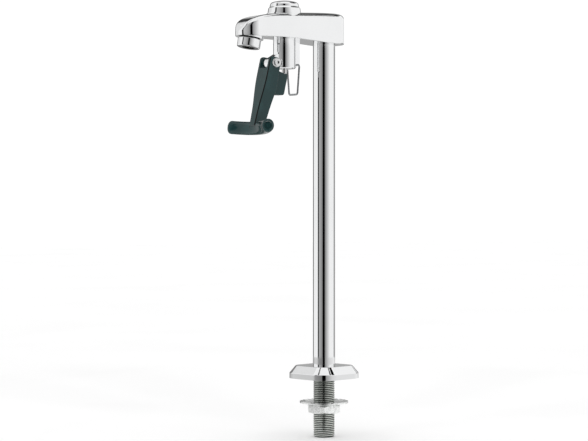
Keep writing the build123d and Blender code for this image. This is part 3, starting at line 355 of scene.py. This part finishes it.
def front_edge_group():
    """How near a point lies to the two long edges between the lever's front and its cheeks, from 0 to 1."""
    name = "Front edges of the lever"
    if name in bpy.data.node_groups:
        return bpy.data.node_groups[name]
    group = bpy.data.node_groups.new(name, "ShaderNodeTree")
    add_socket(group, "Vector", "INPUT", "NodeSocketVector")
    add_socket(group, "Edge", "OUTPUT", "NodeSocketFloat")
    start = add_node(group, "NodeGroupInput")
    end = add_node(group, "NodeGroupOutput")
    parts = add_node(group, "ShaderNodeSeparateXYZ")
    side = add_node(group, "ShaderNodeMath", "Out from the middle", operation="ABSOLUTE")
    share = add_node(group, "ShaderNodeMapRange", "Share of the front's height")
    share.inputs["From Min"].default_value = LEVER_FRONT_FOOT[1]
    share.inputs["From Max"].default_value = LEVER_FRONT_TOP[1]
    width = add_node(group, "ShaderNodeValToRGB", "Half width in centimetres")
    set_stops(width, LEVER_HALF_WIDTHS)
    metres = add_node(group, "ShaderNodeMath", "Half width", operation="MULTIPLY")
    metres.inputs[1].default_value = 10 * MM
    beside = add_node(group, "ShaderNodeMath", "Beside the edge", operation="SUBTRACT")
    top = Vector((0, *LEVER_FRONT_TOP))
    along = top - Vector((0, *LEVER_FRONT_FOOT))
    normal = Vector((0, -along.z, along.y)).normalized()
    dot = add_node(group, "ShaderNodeVectorMath", "Along the front's normal", operation="DOT_PRODUCT")
    dot.inputs[1].default_value = normal
    ahead = add_node(group, "ShaderNodeMath", "Before the front", operation="SUBTRACT")
    ahead.inputs[1].default_value = normal.dot(top)
    both = add_node(group, "ShaderNodeCombineXYZ")
    gap = add_node(group, "ShaderNodeVectorMath", "Distance to the edge", operation="LENGTH")
    near = add_node(group, "ShaderNodeMapRange", "Line at the edge", interpolation_type="SMOOTHSTEP")
    near.inputs["From Min"].default_value, near.inputs["From Max"].default_value = LEVER_SHADE_LINE
    near.inputs["To Min"].default_value = 1.0
    near.inputs["To Max"].default_value = 0.0
    link = group.links.new
    link(start.outputs["Vector"], parts.inputs["Vector"])
    link(start.outputs["Vector"], dot.inputs[0])
    link(parts.outputs["X"], side.inputs[0])
    link(parts.outputs["Z"], share.inputs["Value"])
    link(share.outputs["Result"], width.inputs["Fac"])
    link(width.outputs["Color"], metres.inputs[0])
    link(side.outputs["Value"], beside.inputs[0])
    link(metres.outputs["Value"], beside.inputs[1])
    link(dot.outputs["Value"], ahead.inputs[0])
    link(beside.outputs["Value"], both.inputs["X"])
    link(ahead.outputs["Value"], both.inputs["Y"])
    link(both.outputs["Vector"], gap.inputs[0])
    link(gap.outputs["Value"], near.inputs["Value"])
    link(near.outputs["Result"], end.inputs["Edge"])
    return group


# Materials

def new_material(name, metallic=0.0):
    """A material with its tree, its shader and the node that gives the place on the object."""
    material = bpy.data.materials.new(name)
    material.use_nodes = True
    tree = material.node_tree
    shader = tree.nodes["Principled BSDF"]
    shader.inputs["Metallic"].default_value = metallic
    place = add_node(tree, "ShaderNodeTexCoord", "Place on the object")
    return material, tree, shader, place


def add_range(tree, source, low, high, label):
    """Maps a mask of 0 to 1 to a range."""
    node = add_node(tree, "ShaderNodeMapRange", label)
    node.inputs["To Min"].default_value = low
    node.inputs["To Max"].default_value = high
    tree.links.new(source, node.inputs["Value"])
    return node.outputs["Result"]


def add_tint(tree, mask, colour, marked, label):
    """Mixes a colour with another where a mask is high."""
    node = add_node(tree, "ShaderNodeMix", label, data_type="RGBA")
    node.inputs["A"].default_value = (*colour, 1)
    node.inputs["B"].default_value = (*marked, 1)
    tree.links.new(mask, node.inputs["Factor"])
    return node.outputs["Result"]


def add_overlay(tree, mask, colour, over, label):
    """Lays a plain colour over one that comes from a socket, where a mask is high."""
    node = add_node(tree, "ShaderNodeMix", label, data_type="RGBA")
    node.inputs["B"].default_value = (*over, 1)
    tree.links.new(mask, node.inputs["Factor"])
    tree.links.new(colour, node.inputs["A"])
    return node.outputs["Result"]


def set_surface(tree, shader, colour, rough):
    """Feeds the shader its colour and its roughness."""
    tree.links.new(colour, shader.inputs["Base Color"])
    tree.links.new(rough, shader.inputs["Roughness"])


def add_bump(tree, shader, height, label, distance, strength):
    """Raises the surface by a height of 0 to 1 over a real distance."""
    node = add_node(tree, "ShaderNodeBump", label)
    node.inputs["Distance"].default_value = distance
    node.inputs["Strength"].default_value = strength
    tree.links.new(height, node.inputs["Height"])
    tree.links.new(node.outputs["Normal"], shader.inputs["Normal"])


def add_smudges(tree, place, smudge_scale, rub_scale):
    """Places the group of smudges and rubbing on the object."""
    node = add_node(tree, "ShaderNodeGroup", node_tree=smudge_group())
    node.inputs["Smudge scale"].default_value = smudge_scale
    node.inputs["Rub scale"].default_value = rub_scale
    tree.links.new(place.outputs["Object"], node.inputs["Vector"])
    return node


def add_turning(tree, place, scale):
    """Places the group of turning marks on the object, and gives its rings."""
    node = add_node(tree, "ShaderNodeGroup", node_tree=turning_group())
    node.inputs["Scale"].default_value = scale
    tree.links.new(place.outputs["Object"], node.inputs["Vector"])
    return node.outputs["Rings"]


def add_hollow(tree, vector, root_radius, crest_radius):
    """Places the group of hollows on a vector whose axis is the turned piece's, and gives its mask."""
    node = add_node(tree, "ShaderNodeGroup", node_tree=hollow_group())
    node.inputs["Root radius"].default_value = root_radius
    node.inputs["Crest radius"].default_value = crest_radius
    tree.links.new(vector, node.inputs["Vector"])
    return node.outputs["Hollow"]


def shade(colour, share):
    """A colour made darker or lighter."""
    return tuple(share * part for part in colour)


def polished_plate(finish):
    """Mirror chrome with faint wiping marks and the slight waviness of a hand-polished casting."""
    material, tree, shader, place = new_material("Polished plate", metallic=1.0)
    marks = add_smudges(tree, place, smudge_scale=22.0, rub_scale=700.0)
    tint = tuple(finish.plate_tint)
    colour = add_tint(tree, marks.outputs["Smudge"], tint, shade(tint, 0.97), "Wiping marks")
    clean = finish.plate_roughness
    rough = add_range(tree, marks.outputs["Smudge"], clean, clean + 0.03, "Roughness of the marks")
    set_surface(tree, shader, colour, rough)
    add_bump(tree, shader, marks.outputs["Height"], "Polishing waves", distance=0.02 * MM, strength=0.06)
    return material


def plate_with_painted_gap_shadow(finish):
    """The polished plate of the nozzle, with a painted shadow in the gap round its neck under the arm."""
    material = polished_plate(finish)
    material.name = "Polished plate with a dark gap"
    tree = material.node_tree
    shader = tree.nodes["Principled BSDF"]
    place = add_node(tree, "ShaderNodeTexCoord", "Place on the object")
    leaning = add_node(tree, "ShaderNodeMapping", "Onto the outlet's axis", vector_type="TEXTURE")
    leaning.inputs["Location"].default_value = OUTLET_PLACE
    leaning.inputs["Rotation"].default_value = (-OUTLET_LEAN, 0, 0)
    tree.links.new(place.outputs["Object"], leaning.inputs["Vector"])
    # Painted shadow: the neck deep in the gap under the arm is coloured near black, where the arm's shade
    # falls
    hollow = add_hollow(tree, leaning.outputs["Vector"], root_radius=10.1 * MM, crest_radius=10.7 * MM)
    plate = shader.inputs["Base Color"].links[0].from_socket
    colour = add_overlay(tree, hollow, plate, (0.01, 0.01, 0.01), "Painted gap shadow")
    tree.links.new(colour, shader.inputs["Base Color"])
    return material


def dark_wire(finish):
    """Drawn spring wire, darker than the turned steel and brushed along its bends."""
    material, tree, shader, place = new_material("Drawn wire", metallic=1.0)
    marks = add_smudges(tree, place, smudge_scale=300.0, rub_scale=3200.0)
    wire = tuple(finish.wire_colour)
    colour = add_tint(tree, marks.outputs["Smudge"], wire, (0.22, 0.23, 0.23), "Drawing marks")
    rough = add_range(tree, marks.outputs["Rub"], 0.16, 0.32, "Roughness of the wire")
    set_surface(tree, shader, colour, rough)
    add_bump(tree, shader, marks.outputs["Height"], "Drawing lines", distance=0.02 * MM, strength=0.3)
    return material


def dull_plate(finish):
    """Unpolished plate over turned brass: slightly green, with painted shade in the hollows of the thread."""
    material, tree, shader, place = new_material("Dull plate", metallic=1.0)
    marks = add_smudges(tree, place, smudge_scale=120.0, rub_scale=2400.0)
    rings = add_turning(tree, place, 3000.0)
    hollow = add_hollow(tree, place.outputs["Object"], root_radius=9.95 * MM, crest_radius=10.66 * MM)
    tint = tuple(finish.dull_plate_tint)
    colour = add_tint(tree, marks.outputs["Smudge"], tint, shade(tint, 0.82), "Tarnish")
    # Painted shade: the thread's roots are coloured dark, where the grooves shade each other
    colour = add_overlay(tree, hollow, colour, tuple(finish.painted_root_shade_colour), "Painted shade in the roots")
    rough = add_range(tree, marks.outputs["Rub"], 0.12, 0.24, "Roughness of the tarnish")
    set_surface(tree, shader, colour, rough)
    add_bump(tree, shader, rings, "Tool marks", distance=0.02 * MM, strength=0.15)
    return material


def bright_plate(finish):
    """Bright plate over pressed or turned metal: satin, a little mottled."""
    material, tree, shader, place = new_material("Bright plate", metallic=1.0)
    marks = add_smudges(tree, place, smudge_scale=260.0, rub_scale=1800.0)
    tint = tuple(finish.bright_plate_tint)
    colour = add_tint(tree, marks.outputs["Smudge"], tint, shade(tint, 0.78), "Mottling")
    rough = add_range(tree, marks.outputs["Rub"], 0.16, 0.36, "Roughness of the plate")
    set_surface(tree, shader, colour, rough)
    add_bump(tree, shader, marks.outputs["Height"], "Uneven plate", distance=0.1 * MM, strength=0.35)
    return material


def turned_steel(finish):
    """Stainless steel with fine turning marks."""
    material, tree, shader, place = new_material("Turned stainless", metallic=1.0)
    marks = add_smudges(tree, place, smudge_scale=160.0, rub_scale=2600.0)
    rings = add_turning(tree, place, 3600.0)
    steel = tuple(finish.steel_colour)
    colour = add_tint(tree, rings, steel, (0.72, 0.72, 0.71), "Ring shade")
    rough = add_range(tree, marks.outputs["Rub"], 0.14, 0.30, "Roughness of the rings")
    set_surface(tree, shader, colour, rough)
    add_bump(tree, shader, rings, "Turning marks", distance=0.02 * MM, strength=0.35)
    return material


def bare_brass(finish):
    """Unplated brass inside the valve."""
    material, tree, shader, place = new_material("Bare brass", metallic=1.0)
    marks = add_smudges(tree, place, smudge_scale=140.0, rub_scale=2200.0)
    rings = add_turning(tree, place, 3200.0)
    brass = tuple(finish.brass_colour)
    colour = add_tint(tree, marks.outputs["Smudge"], brass, (0.47, 0.31, 0.13), "Tarnish")
    rough = add_range(tree, marks.outputs["Rub"], 0.2, 0.36, "Roughness of the tarnish")
    set_surface(tree, shader, colour, rough)
    add_bump(tree, shader, rings, "Turning marks", distance=0.02 * MM, strength=0.4)
    return material


def moulded_lever(finish):
    """Dark moulded plastic: a satin skin with a fine grain, rubbed a little smoother in places, with painted
    shade down the front's two long edges.
    """
    material, tree, shader, place = new_material("Moulded lever")
    marks = add_smudges(tree, place, smudge_scale=70.0, rub_scale=2600.0)
    base = tuple(finish.lever_colour)
    colour = add_tint(tree, marks.outputs["Smudge"], base, shade(base, 1.35), "Cloudiness of the moulding")
    edges = add_node(tree, "ShaderNodeGroup", node_tree=front_edge_group())
    tree.links.new(place.outputs["Object"], edges.inputs["Vector"])
    # Painted shade: near-black colour down the edges between the lever's front and its cheeks
    dark = (0.0005, 0.002, 0.002)
    colour = add_overlay(tree, edges.outputs["Edge"], colour, dark, "Painted shade line down the edges")
    rough = add_range(tree, marks.outputs["Smudge"], 0.15, 0.22, "Rubbed places")
    set_surface(tree, shader, colour, rough)
    shader.inputs["Specular IOR Level"].default_value = 0.3
    add_bump(tree, shader, marks.outputs["Rub"], "Moulding grain", distance=0.03 * MM, strength=0.14)
    return material


def black_rubber(finish):
    """Matte rubber with a dusty bloom."""
    material, tree, shader, place = new_material("Black rubber")
    marks = add_smudges(tree, place, smudge_scale=200.0, rub_scale=3000.0)
    base = tuple(finish.rubber_colour)
    colour = add_tint(tree, marks.outputs["Smudge"], base, (0.06, 0.06, 0.058), "Bloom")
    rough = add_range(tree, marks.outputs["Rub"], 0.55, 0.8, "Roughness of the bloom")
    set_surface(tree, shader, colour, rough)
    add_bump(tree, shader, marks.outputs["Rub"], "Rubber grain", distance=0.05 * MM, strength=0.3)
    return material


def white_plastic(finish):
    """Natural white plastic, slightly cloudy."""
    material, tree, shader, place = new_material("White plastic")
    marks = add_smudges(tree, place, smudge_scale=200.0, rub_scale=2600.0)
    plastic = tuple(finish.plastic_colour)
    colour = add_tint(tree, marks.outputs["Smudge"], plastic, (0.70, 0.69, 0.64), "Cloudiness")
    rough = add_range(tree, marks.outputs["Rub"], 0.3, 0.42, "Roughness of the skin")
    set_surface(tree, shader, colour, rough)
    add_bump(tree, shader, marks.outputs["Rub"], "Moulding grain", distance=0.03 * MM, strength=0.2)
    return material


# What makes the material of each slot in the record, and of the nodes that have their own
MAKERS = {
    "polished_chrome": polished_plate,
    "plated_brass": dull_plate,
    "plated_steel": bright_plate,
    "stainless_steel": turned_steel,
    "bare_brass": bare_brass,
    "black_rubber": black_rubber,
    "white_plastic": white_plastic,
    "lever_plastic": moulded_lever,
}
NODE_MAKERS = {
    "outlet_nozzle": plate_with_painted_gap_shadow,
    "wire_bail": dark_wire,
    "lock_nut": bright_plate,
}
MATERIALS = {}


def made(maker):
    """A material, made when it is first asked for."""
    if maker.__name__ not in MATERIALS:
        MATERIALS[maker.__name__] = maker(bpy.context.scene.filler_finish)
    return MATERIALS[maker.__name__]


# Pieces

def lathe(bm, points, steps):
    """Turns a chain of (radius, height) points about the column's axis."""
    chain = [bm.verts.new((radius, 0, height)) for radius, height in points]
    edges = [bm.edges.new(pair) for pair in zip(chain, chain[1:])]
    bmesh.ops.spin(bm, geom=chain + edges, cent=(0, 0, 0), axis=UP, dvec=(0, 0, 0), angle=FULL_TURN,
                   steps=steps, use_merge=True, use_duplicate=False)


def weld(bm):
    """Joins the points that meet, and turns the faces outwards."""
    bmesh.ops.remove_doubles(bm, verts=bm.verts, dist=TOUCH)
    bmesh.ops.recalc_face_normals(bm, faces=bm.faces)


def round_edges(bm, width, segments, least_angle):
    """Rounds the edges whose faces meet at more than an angle in degrees."""
    edges = [
        edge for edge in bm.edges
        if len(edge.link_faces) == 2 and edge.calc_face_angle(0) > math.radians(least_angle)
    ]
    bmesh.ops.bevel(bm, geom=edges, offset=width, offset_type="OFFSET", segments=segments, profile=0.5,
                    affect="EDGES", material=-1, clamp_overlap=True)


def points_of(geometry):
    """The points among the parts that a bmesh operator gives back."""
    return [part for part in geometry if isinstance(part, bmesh.types.BMVert)]


def flat_radius(vert):
    """A point's distance from the column's axis."""
    return math.hypot(vert.co.x, vert.co.y)


def set_radius(vert, radius):
    """Moves a point out from or in to the column's axis, at its own height."""
    flat = Vector((vert.co.x, vert.co.y, 0))
    vert.co = flat.normalized() * radius + UP * vert.co.z


def turn_from(point, start):
    """How far a point has turned about the column's axis past a starting turn, from 0 to a full turn."""
    return (math.atan2(point.y, point.x) - start) % FULL_TURN


def new_object(bm, name, material):
    """Turns a bmesh into an object with a material."""
    mesh = bpy.data.meshes.new(name)
    bm.to_mesh(mesh)
    bm.free()
    mesh.materials.append(material)
    item = bpy.data.objects.new(name, mesh)
    bpy.context.scene.collection.objects.link(item)
    return item


def finish_piece(bm, name, body, slot_name, nodes, sharp_angle):
    """Turns a bmesh into a smooth-shaded object that rides on a body and stands for CAD nodes."""
    weld(bm)
    piece = new_object(bm, name, made(NODE_MAKERS.get(nodes[0], MAKERS[slot_name])))
    piece.data.shade_smooth()
    piece.data.set_sharp_from_angle(angle=math.radians(sharp_angle))
    level = piece.modifiers.new("Level faces", "WEIGHTED_NORMAL")
    level.keep_sharp = True
    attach(piece, body)
    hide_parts(*nodes)


class BuildColumn(bpy.types.Operator):
    """Turns the column tube, with its ends just broken"""
    bl_idname = "glass_filler.column"
    bl_label = "Column"

    def execute(self, context):
        sizes = context.scene.filler_pieces
        foot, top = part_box("column_tube")[0][2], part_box("column_tube")[1][2]
        outer, bore = sizes.column_radius, sizes.column_bore
        # A ring of points close to each end keeps the long faces' shading even
        ring = 1 * MM
        bm = bmesh.new()
        lathe(bm, [(bore, foot), (outer, foot), (outer, foot + ring), (outer, top - ring), (outer, top),
                   (bore, top), (bore, top - ring), (bore, foot + ring), (bore, foot)], steps=288)
        weld(bm)
        round_edges(bm, width=0.3 * MM, segments=2, least_angle=60)
        finish_piece(bm, "column", "stand", "polished_chrome", ["column_tube"], sharp_angle=32)
        return {"FINISHED"}


class BuildShank(bpy.types.Operator):
    """Cuts the shank's helical thread, its chamfered end, its bore and the spigot inside the column"""
    bl_idname = "glass_filler.shank"
    bl_label = "Threaded shank"
    # Steps in a full turn, for the thread and the bore
    steps = 72

    def execute(self, context):
        sizes = context.scene.filler_pieces
        low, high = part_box("threaded_shank")
        foot, spigot_top = low[2], high[2]
        neck_below_flange, neck_length, neck_cut, spigot_gap = 0.9 * MM, 6.9 * MM, 0.2 * MM, 0.06 * MM
        thread_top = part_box("deck_flange")[0][2] - neck_below_flange
        bm = bmesh.new()
        self.cut_thread(bm, foot, thread_top, sizes)
        for vert in bm.verts:
            limit = sizes.thread_radius - sizes.shank_chamfer + (vert.co.z - foot)
            if flat_radius(vert) > limit:
                set_radius(vert, limit)
        neck, spigot, bore = sizes.thread_radius - neck_cut, sizes.column_bore - spigot_gap, sizes.shank_bore
        spigot_rise = spigot_top - thread_top
        self.close_end(bm, foot, [(bore, 0)])
        self.close_end(bm, thread_top, [(neck, 0), (neck, neck_length), (spigot, neck_length),
                                        (spigot, spigot_rise), (bore, spigot_rise)])
        lathe(bm, [(bore, foot), (bore, spigot_top)], steps=self.steps)
        finish_piece(bm, "threaded_shank_piece", "stand", "plated_brass", ["threaded_shank"], sharp_angle=38)
        return {"FINISHED"}

    def cut_thread(self, bm, foot, top, sizes):
        """Spins one turn of the thread, repeats it up the shank, and cuts both ends level."""
        crest, root, pitch = sizes.thread_radius, sizes.thread_radius - sizes.thread_depth, sizes.thread_pitch
        # Whole turns past each end, for the cuts to take off
        spare = 2
        start = foot - spare * pitch
        turns = math.ceil((top - start) / pitch) + spare
        # Flat crest, flank, flat root and flank, as (radius, share of the pitch)
        outline = ((crest, 0), (crest, 0.30), (root, 0.56), (root, 0.74), (crest, 1))
        chain = [bm.verts.new((radius, 0, start + share * pitch)) for radius, share in outline]
        edges = [bm.edges.new(pair) for pair in zip(chain, chain[1:])]
        bmesh.ops.spin(bm, geom=chain + edges, cent=(0, 0, 0), axis=UP, dvec=UP * pitch / self.steps,
                       angle=FULL_TURN, steps=self.steps, use_merge=False, use_duplicate=False)
        one_turn = bm.verts[:] + bm.edges[:] + bm.faces[:]
        for number in range(1, turns):
            copy = bmesh.ops.duplicate(bm, geom=one_turn)["geom"]
            bmesh.ops.translate(bm, vec=UP * pitch * number, verts=points_of(copy))
        bmesh.ops.remove_doubles(bm, verts=bm.verts, dist=NEAR)
        for height, normal in ((foot, -UP), (top, UP)):
            bmesh.ops.bisect_plane(bm, geom=bm.verts[:] + bm.edges[:] + bm.faces[:], dist=ON_PLANE,
                                   plane_co=UP * height, plane_no=normal, clear_outer=True)

    def close_end(self, bm, height, rings):
        """Carries an open end at a height on through rings of a radius and a rise above that height."""
        edges = [edge for edge in bm.edges if edge.is_boundary
                 and all(abs(vert.co.z - height) < NEAR for vert in edge.verts)]
        for radius, rise in rings:
            grown = bmesh.ops.extrude_edge_only(bm, edges=edges)["geom"]
            for vert in points_of(grown):
                vert.co.z = height + rise
                set_radius(vert, radius)
            edges = [edge for edge in grown if isinstance(edge, bmesh.types.BMEdge)]


class BuildWasher(bpy.types.Operator):
    """Presses the dished lock washer and twists its teeth up round the rim"""
    bl_idname = "glass_filler.lock_washer"
    bl_label = "Lock washer"
    steps_per_tooth = 8
    # The share of each step that its tooth takes up, and of the tooth's height at its low side
    tooth_share = 0.75
    low_side = 0.25
    # The share of the rise that the high side reaches, just inside the washer's box
    tooth_height = 0.98
    # The least upward part of the normal of a face that counts as the rim's upper face
    facing_up = 0.6

    def execute(self, context):
        sizes = context.scene.filler_pieces
        low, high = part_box("lock_washer")
        rim, hole, land = high[0], sizes.washer_hole, sizes.nut_flats / 2
        thick, foot, rim_top = sizes.washer_thickness, low[2], high[2] - sizes.tooth_rise
        # The dish's upper face at the teeth's roots, on its slope from the flat land up to the rim
        tooth_root = rim - sizes.tooth_length
        slope_top = foot + thick + (rim_top - foot - thick) * (tooth_root - land) / (rim - land)
        bm = bmesh.new()
        lathe(bm, [(hole, foot), (land, foot), (rim, rim_top - thick), (rim, rim_top),
                   (tooth_root, slope_top), (land, foot + thick), (hole, foot + thick), (hole, foot)],
              steps=self.steps_per_tooth * sizes.washer_teeth)
        weld(bm)
        round_edges(bm, width=0.25 * MM, segments=2, least_angle=50)
        for number in range(sizes.washer_teeth):
            self.raise_tooth(bm, number, tooth_root, sizes)
        finish_piece(bm, "lock_washer_piece", "stand", "plated_steel", ["lock_washer"], sharp_angle=30)
        return {"FINISHED"}

    def raise_tooth(self, bm, number, root, sizes):
        """Lifts one tooth out of the rim's upper face, from its low side to its high one."""
        step = FULL_TURN / sizes.washer_teeth
        start, width = number * step, self.tooth_share * step
        faces = []
        for face in bm.faces:
            middle = face.calc_center_median()
            on_rim = middle.xy.length > root and face.normal.z > self.facing_up
            if on_rim and turn_from(middle, start) < width:
                faces.append(face)
        grown = bmesh.ops.extrude_face_region(bm, geom=faces)["geom"]
        bmesh.ops.delete(bm, geom=faces, context="FACES_ONLY")
        # Measured from a little before the start, so that a point on the start isn't a full turn past it
        early = 0.01
        for vert in points_of(grown):
            share = min(1, turn_from(vert.co, start - early) / width)
            vert.co.z += sizes.tooth_rise * self.tooth_height * (self.low_side + (1 - self.low_side) * share)


class BuildNut(bpy.types.Operator):
    """Turns the lock nut, draws its sides out to a hexagon and chamfers its corners"""
    bl_idname = "glass_filler.lock_nut"
    bl_label = "Lock nut"

    def execute(self, context):
        sizes = context.scene.filler_pieces
        low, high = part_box("lock_nut")
        foot, top, half = low[2], high[2], sizes.nut_flats / 2
        face_inset, slope, thread_gap, lead_in = 0.45 * MM, 1 * MM, 0.03 * MM, 0.6 * MM
        face_radius = half - face_inset
        hole = sizes.thread_radius - sizes.thread_depth + thread_gap
        bm = bmesh.new()
        lathe(bm, [(hole + lead_in, foot), (face_radius, foot), (half, foot + slope), (half, top - slope),
                   (face_radius, top), (hole + lead_in, top), (hole, top - lead_in), (hole, foot + lead_in),
                   (hole + lead_in, foot)], steps=144)
        weld(bm)
        side, corner_chamfer = FULL_TURN / 6, math.radians(30)
        for vert in bm.verts:
            if abs(flat_radius(vert) - half) < NEAR:
                radius = half / math.cos(turn_from(vert.co, sizes.nut_turn) % side - side / 2)
                drop = (radius - face_radius) * math.tan(corner_chamfer)
                set_radius(vert, radius)
                vert.co.z = foot + drop if vert.co.z < (foot + top) / 2 else top - drop
        round_edges(bm, width=0.35 * MM, segments=3, least_angle=45)
        finish_piece(bm, "lock_nut_piece", "stand", "plated_brass", ["lock_nut"], sharp_angle=24)
        return {"FINISHED"}


class FinishCadNodes(bpy.types.Operator):
    """Gives each CAD node the procedural material of its slot, or its own"""
    bl_idname = "glass_filler.finish_cad_nodes"
    bl_label = "Finish the CAD nodes"

    def execute(self, context):
        for row in frame["record"]["subparts"]:
            node = frame["nodes"][row["node"]]
            # These two would draw dark stripes down the column where it mirrors them
            node.visible_glossy = row["node"] not in ("lever", "wire_bail")
            maker = NODE_MAKERS.get(row["node"], MAKERS[row["material_slot"]])
            for held in node.material_slots:
                held.material = made(maker)
        return {"FINISHED"}


# Stage

def floor_material():
    """White paper, a little uneven."""
    material, tree, shader, place = new_material("Studio floor")
    marks = add_smudges(tree, place, smudge_scale=3.0, rub_scale=60.0)
    colour = add_tint(tree, marks.outputs["Smudge"], (0.97, 0.97, 0.97), (0.955, 0.955, 0.955), "Paper shade")
    tree.links.new(colour, shader.inputs["Base Color"])
    shader.inputs["Roughness"].default_value = 0.9
    shader.inputs["Specular IOR Level"].default_value = 0.1
    return material


def card_material(name, light):
    """Light that changes round the column, as (turn to the right of the camera in degrees, brightness)."""
    material = bpy.data.materials.new(name)
    material.use_nodes = True
    tree = material.node_tree
    tree.nodes.clear()
    place = add_node(tree, "ShaderNodeTexCoord", "Place on the card")
    turned = add_node(tree, "ShaderNodeMapping", "Camera's side to the middle")
    turned.inputs["Rotation"].default_value = (0, 0, math.pi / 2 - VIEW_TURN)
    angle = add_node(tree, "ShaderNodeTexGradient", "Turn round the column", gradient_type="RADIAL")
    # The ramp runs once round, from behind the column to behind it, with the camera's side at its middle
    ramp = add_node(tree, "ShaderNodeValToRGB", "Brightness at each turn")
    set_stops(ramp, [(0.5 + turn / 360, brightness) for turn, brightness in light])
    glow = add_node(tree, "ShaderNodeEmission")
    out = add_node(tree, "ShaderNodeOutputMaterial")
    link = tree.links.new
    link(place.outputs["Object"], turned.inputs["Vector"])
    link(turned.outputs["Vector"], angle.inputs["Vector"])
    link(angle.outputs["Fac"], ramp.inputs["Fac"])
    link(ramp.outputs["Color"], glow.inputs["Color"])
    link(glow.outputs["Emission"], out.inputs["Surface"])
    return material


def add_card(name, points, light):
    """A card all round the column, turned from (radius, height) points, which only reflections show."""
    bm = bmesh.new()
    lathe(bm, points, steps=90)
    card = new_object(bm, name, card_material(name, light))
    card.visible_camera = False
    card.visible_diffuse = False
    card.visible_shadow = False
    card.visible_transmission = False


def add_cards(wall, near):
    """Stands the studio's cards round the column: the tall wall, its hood and the low wall by the shank."""
    floor, under_flange = FLOOR_HEIGHT + 1 * MM, -2 * MM
    over_flange, under_arm, over_arm, hood_centre = 72 * MM, 397 * MM, 500 * MM, 350 * MM
    card_gap, shank_gap = 10 * MM, 70 * MM
    add_card("studio_wall_foot", [(near + card_gap, floor), (wall, floor), (wall, over_flange)],
             [(-180, 1.0), (-171, 0.9), *WALL_LIGHT, (171, 0.9), (180, 1.0)])
    add_card("studio_wall", [(wall, over_flange), (wall, under_arm)],
             [(-180, 0.4), (-171, 0.4), *WALL_LIGHT, (171, 0.4), (180, 0.4)])
    add_card("studio_wall_at_the_arm", [(wall, under_arm), (wall, over_arm)],
             [*ARM_WALL_LIGHT, (140, 1.0), (158, 0.8), (180, 0.55)])
    add_card("studio_wall_top", [(wall, over_arm), (wall, hood_centre + WALL_TOP * wall)],
             [*ARM_WALL_LIGHT, (146, 1.0), (151, 0.1), (159, 0.1), (165, 0.55), (180, 0.55)])
    add_card("studio_hood", [(out * wall, hood_centre + up * wall) for out, up in HOOD_OUTLINE], HOOD_LIGHT)
    add_card("low_wall", [(near, floor), (near, under_flange)], LOW_WALL_LIGHT)
    add_card("near_floor", [(shank_gap, floor), (near, floor)], NEAR_FLOOR_LIGHT)


def add_floor(size):
    """Lays the floor under the shank's foot."""
    bm = bmesh.new()
    bmesh.ops.create_grid(bm, x_segments=1, y_segments=1, size=size / 2,
                          matrix=Matrix.Translation((0, 0, FLOOR_HEIGHT)))
    floor = new_object(bm, "floor", floor_material())


def set_world(scene):
    """Lights the scene evenly from all sides, in white."""
    world = bpy.data.worlds.new("White studio")
    world.use_nodes = True
    background = world.node_tree.nodes["Background"]
    background.inputs["Color"].default_value = (1, 1, 1, 1)
    background.inputs["Strength"].default_value = 1.04
    scene.world = world
    scene.view_settings.view_transform = "Standard"


def add_camera(scene, stage):
    """Stands the camera where the photograph's was."""
    camera = bpy.data.cameras.new("camera")
    camera.sensor_fit = "HORIZONTAL"
    camera.sensor_width = 36
    camera.lens = stage.lens
    camera.clip_end = 50
    eye = bpy.data.objects.new("camera", camera)
    scene.collection.objects.link(eye)
    place = TO_CAMERA * stage.camera_distance - TO_RIGHT * stage.camera_shift_left + UP * stage.camera_height
    facing = Matrix((TO_RIGHT, UP, TO_CAMERA)).transposed().to_4x4()
    eye.matrix_world = Matrix.Translation(place) @ facing @ Matrix.Rotation(-stage.camera_dip, 4, "X")
    scene.camera = eye


class BuildStage(bpy.types.Operator):
    """Adds the pale floor, the white world, the studio's cards and the photograph's camera"""
    bl_idname = "glass_filler.stage"
    bl_label = "Stage"

    def execute(self, context):
        stage = context.scene.filler_stage
        add_floor(stage.floor_size)
        set_world(context.scene)
        add_cards(stage.card_radius, stage.near_card_radius)
        add_camera(context.scene, stage)
        return {"FINISHED"}


# The add-on's panel and registration

class FillerPanel(bpy.types.Panel):
    """Lists the pieces of the glass filler in the order in which they are built"""
    bl_idname = "VIEW3D_PT_glass_filler"
    bl_label = "Glass filler"
    bl_space_type = "VIEW_3D"
    bl_region_type = "UI"
    bl_category = "Glass filler"

    def draw(self, context):
        for group in (context.scene.filler_pieces, context.scene.filler_finish, context.scene.filler_stage):
            box = self.layout.box()
            for key in type(group).__annotations__:
                box.prop(group, key)
        for operator in OPERATORS:
            self.layout.operator(operator.bl_idname)


SETTINGS = {
    "filler_pieces": PieceSettings,
    "filler_finish": FinishSettings,
    "filler_stage": StageSettings,
}
OPERATORS = (
    FinishCadNodes,
    BuildColumn,
    BuildShank,
    BuildWasher,
    BuildNut,
    BuildStage,
)


def register():
    for group in SETTINGS.values():
        bpy.utils.register_class(group)
    for name, group in SETTINGS.items():
        setattr(bpy.types.Scene, name, bpy.props.PointerProperty(type=group))
    for operator in OPERATORS:
        bpy.utils.register_class(operator)
    bpy.utils.register_class(FillerPanel)


def unregister():
    bpy.utils.unregister_class(FillerPanel)
    for operator in reversed(OPERATORS):
        bpy.utils.unregister_class(operator)
    for name, group in SETTINGS.items():
        delattr(bpy.types.Scene, name)
        bpy.utils.unregister_class(group)


def main():
    register()
    for operator in OPERATORS:
        package, action = operator.bl_idname.split(".")
        getattr(getattr(bpy.ops, package), action)()


if __name__ == "__main__":
    main()
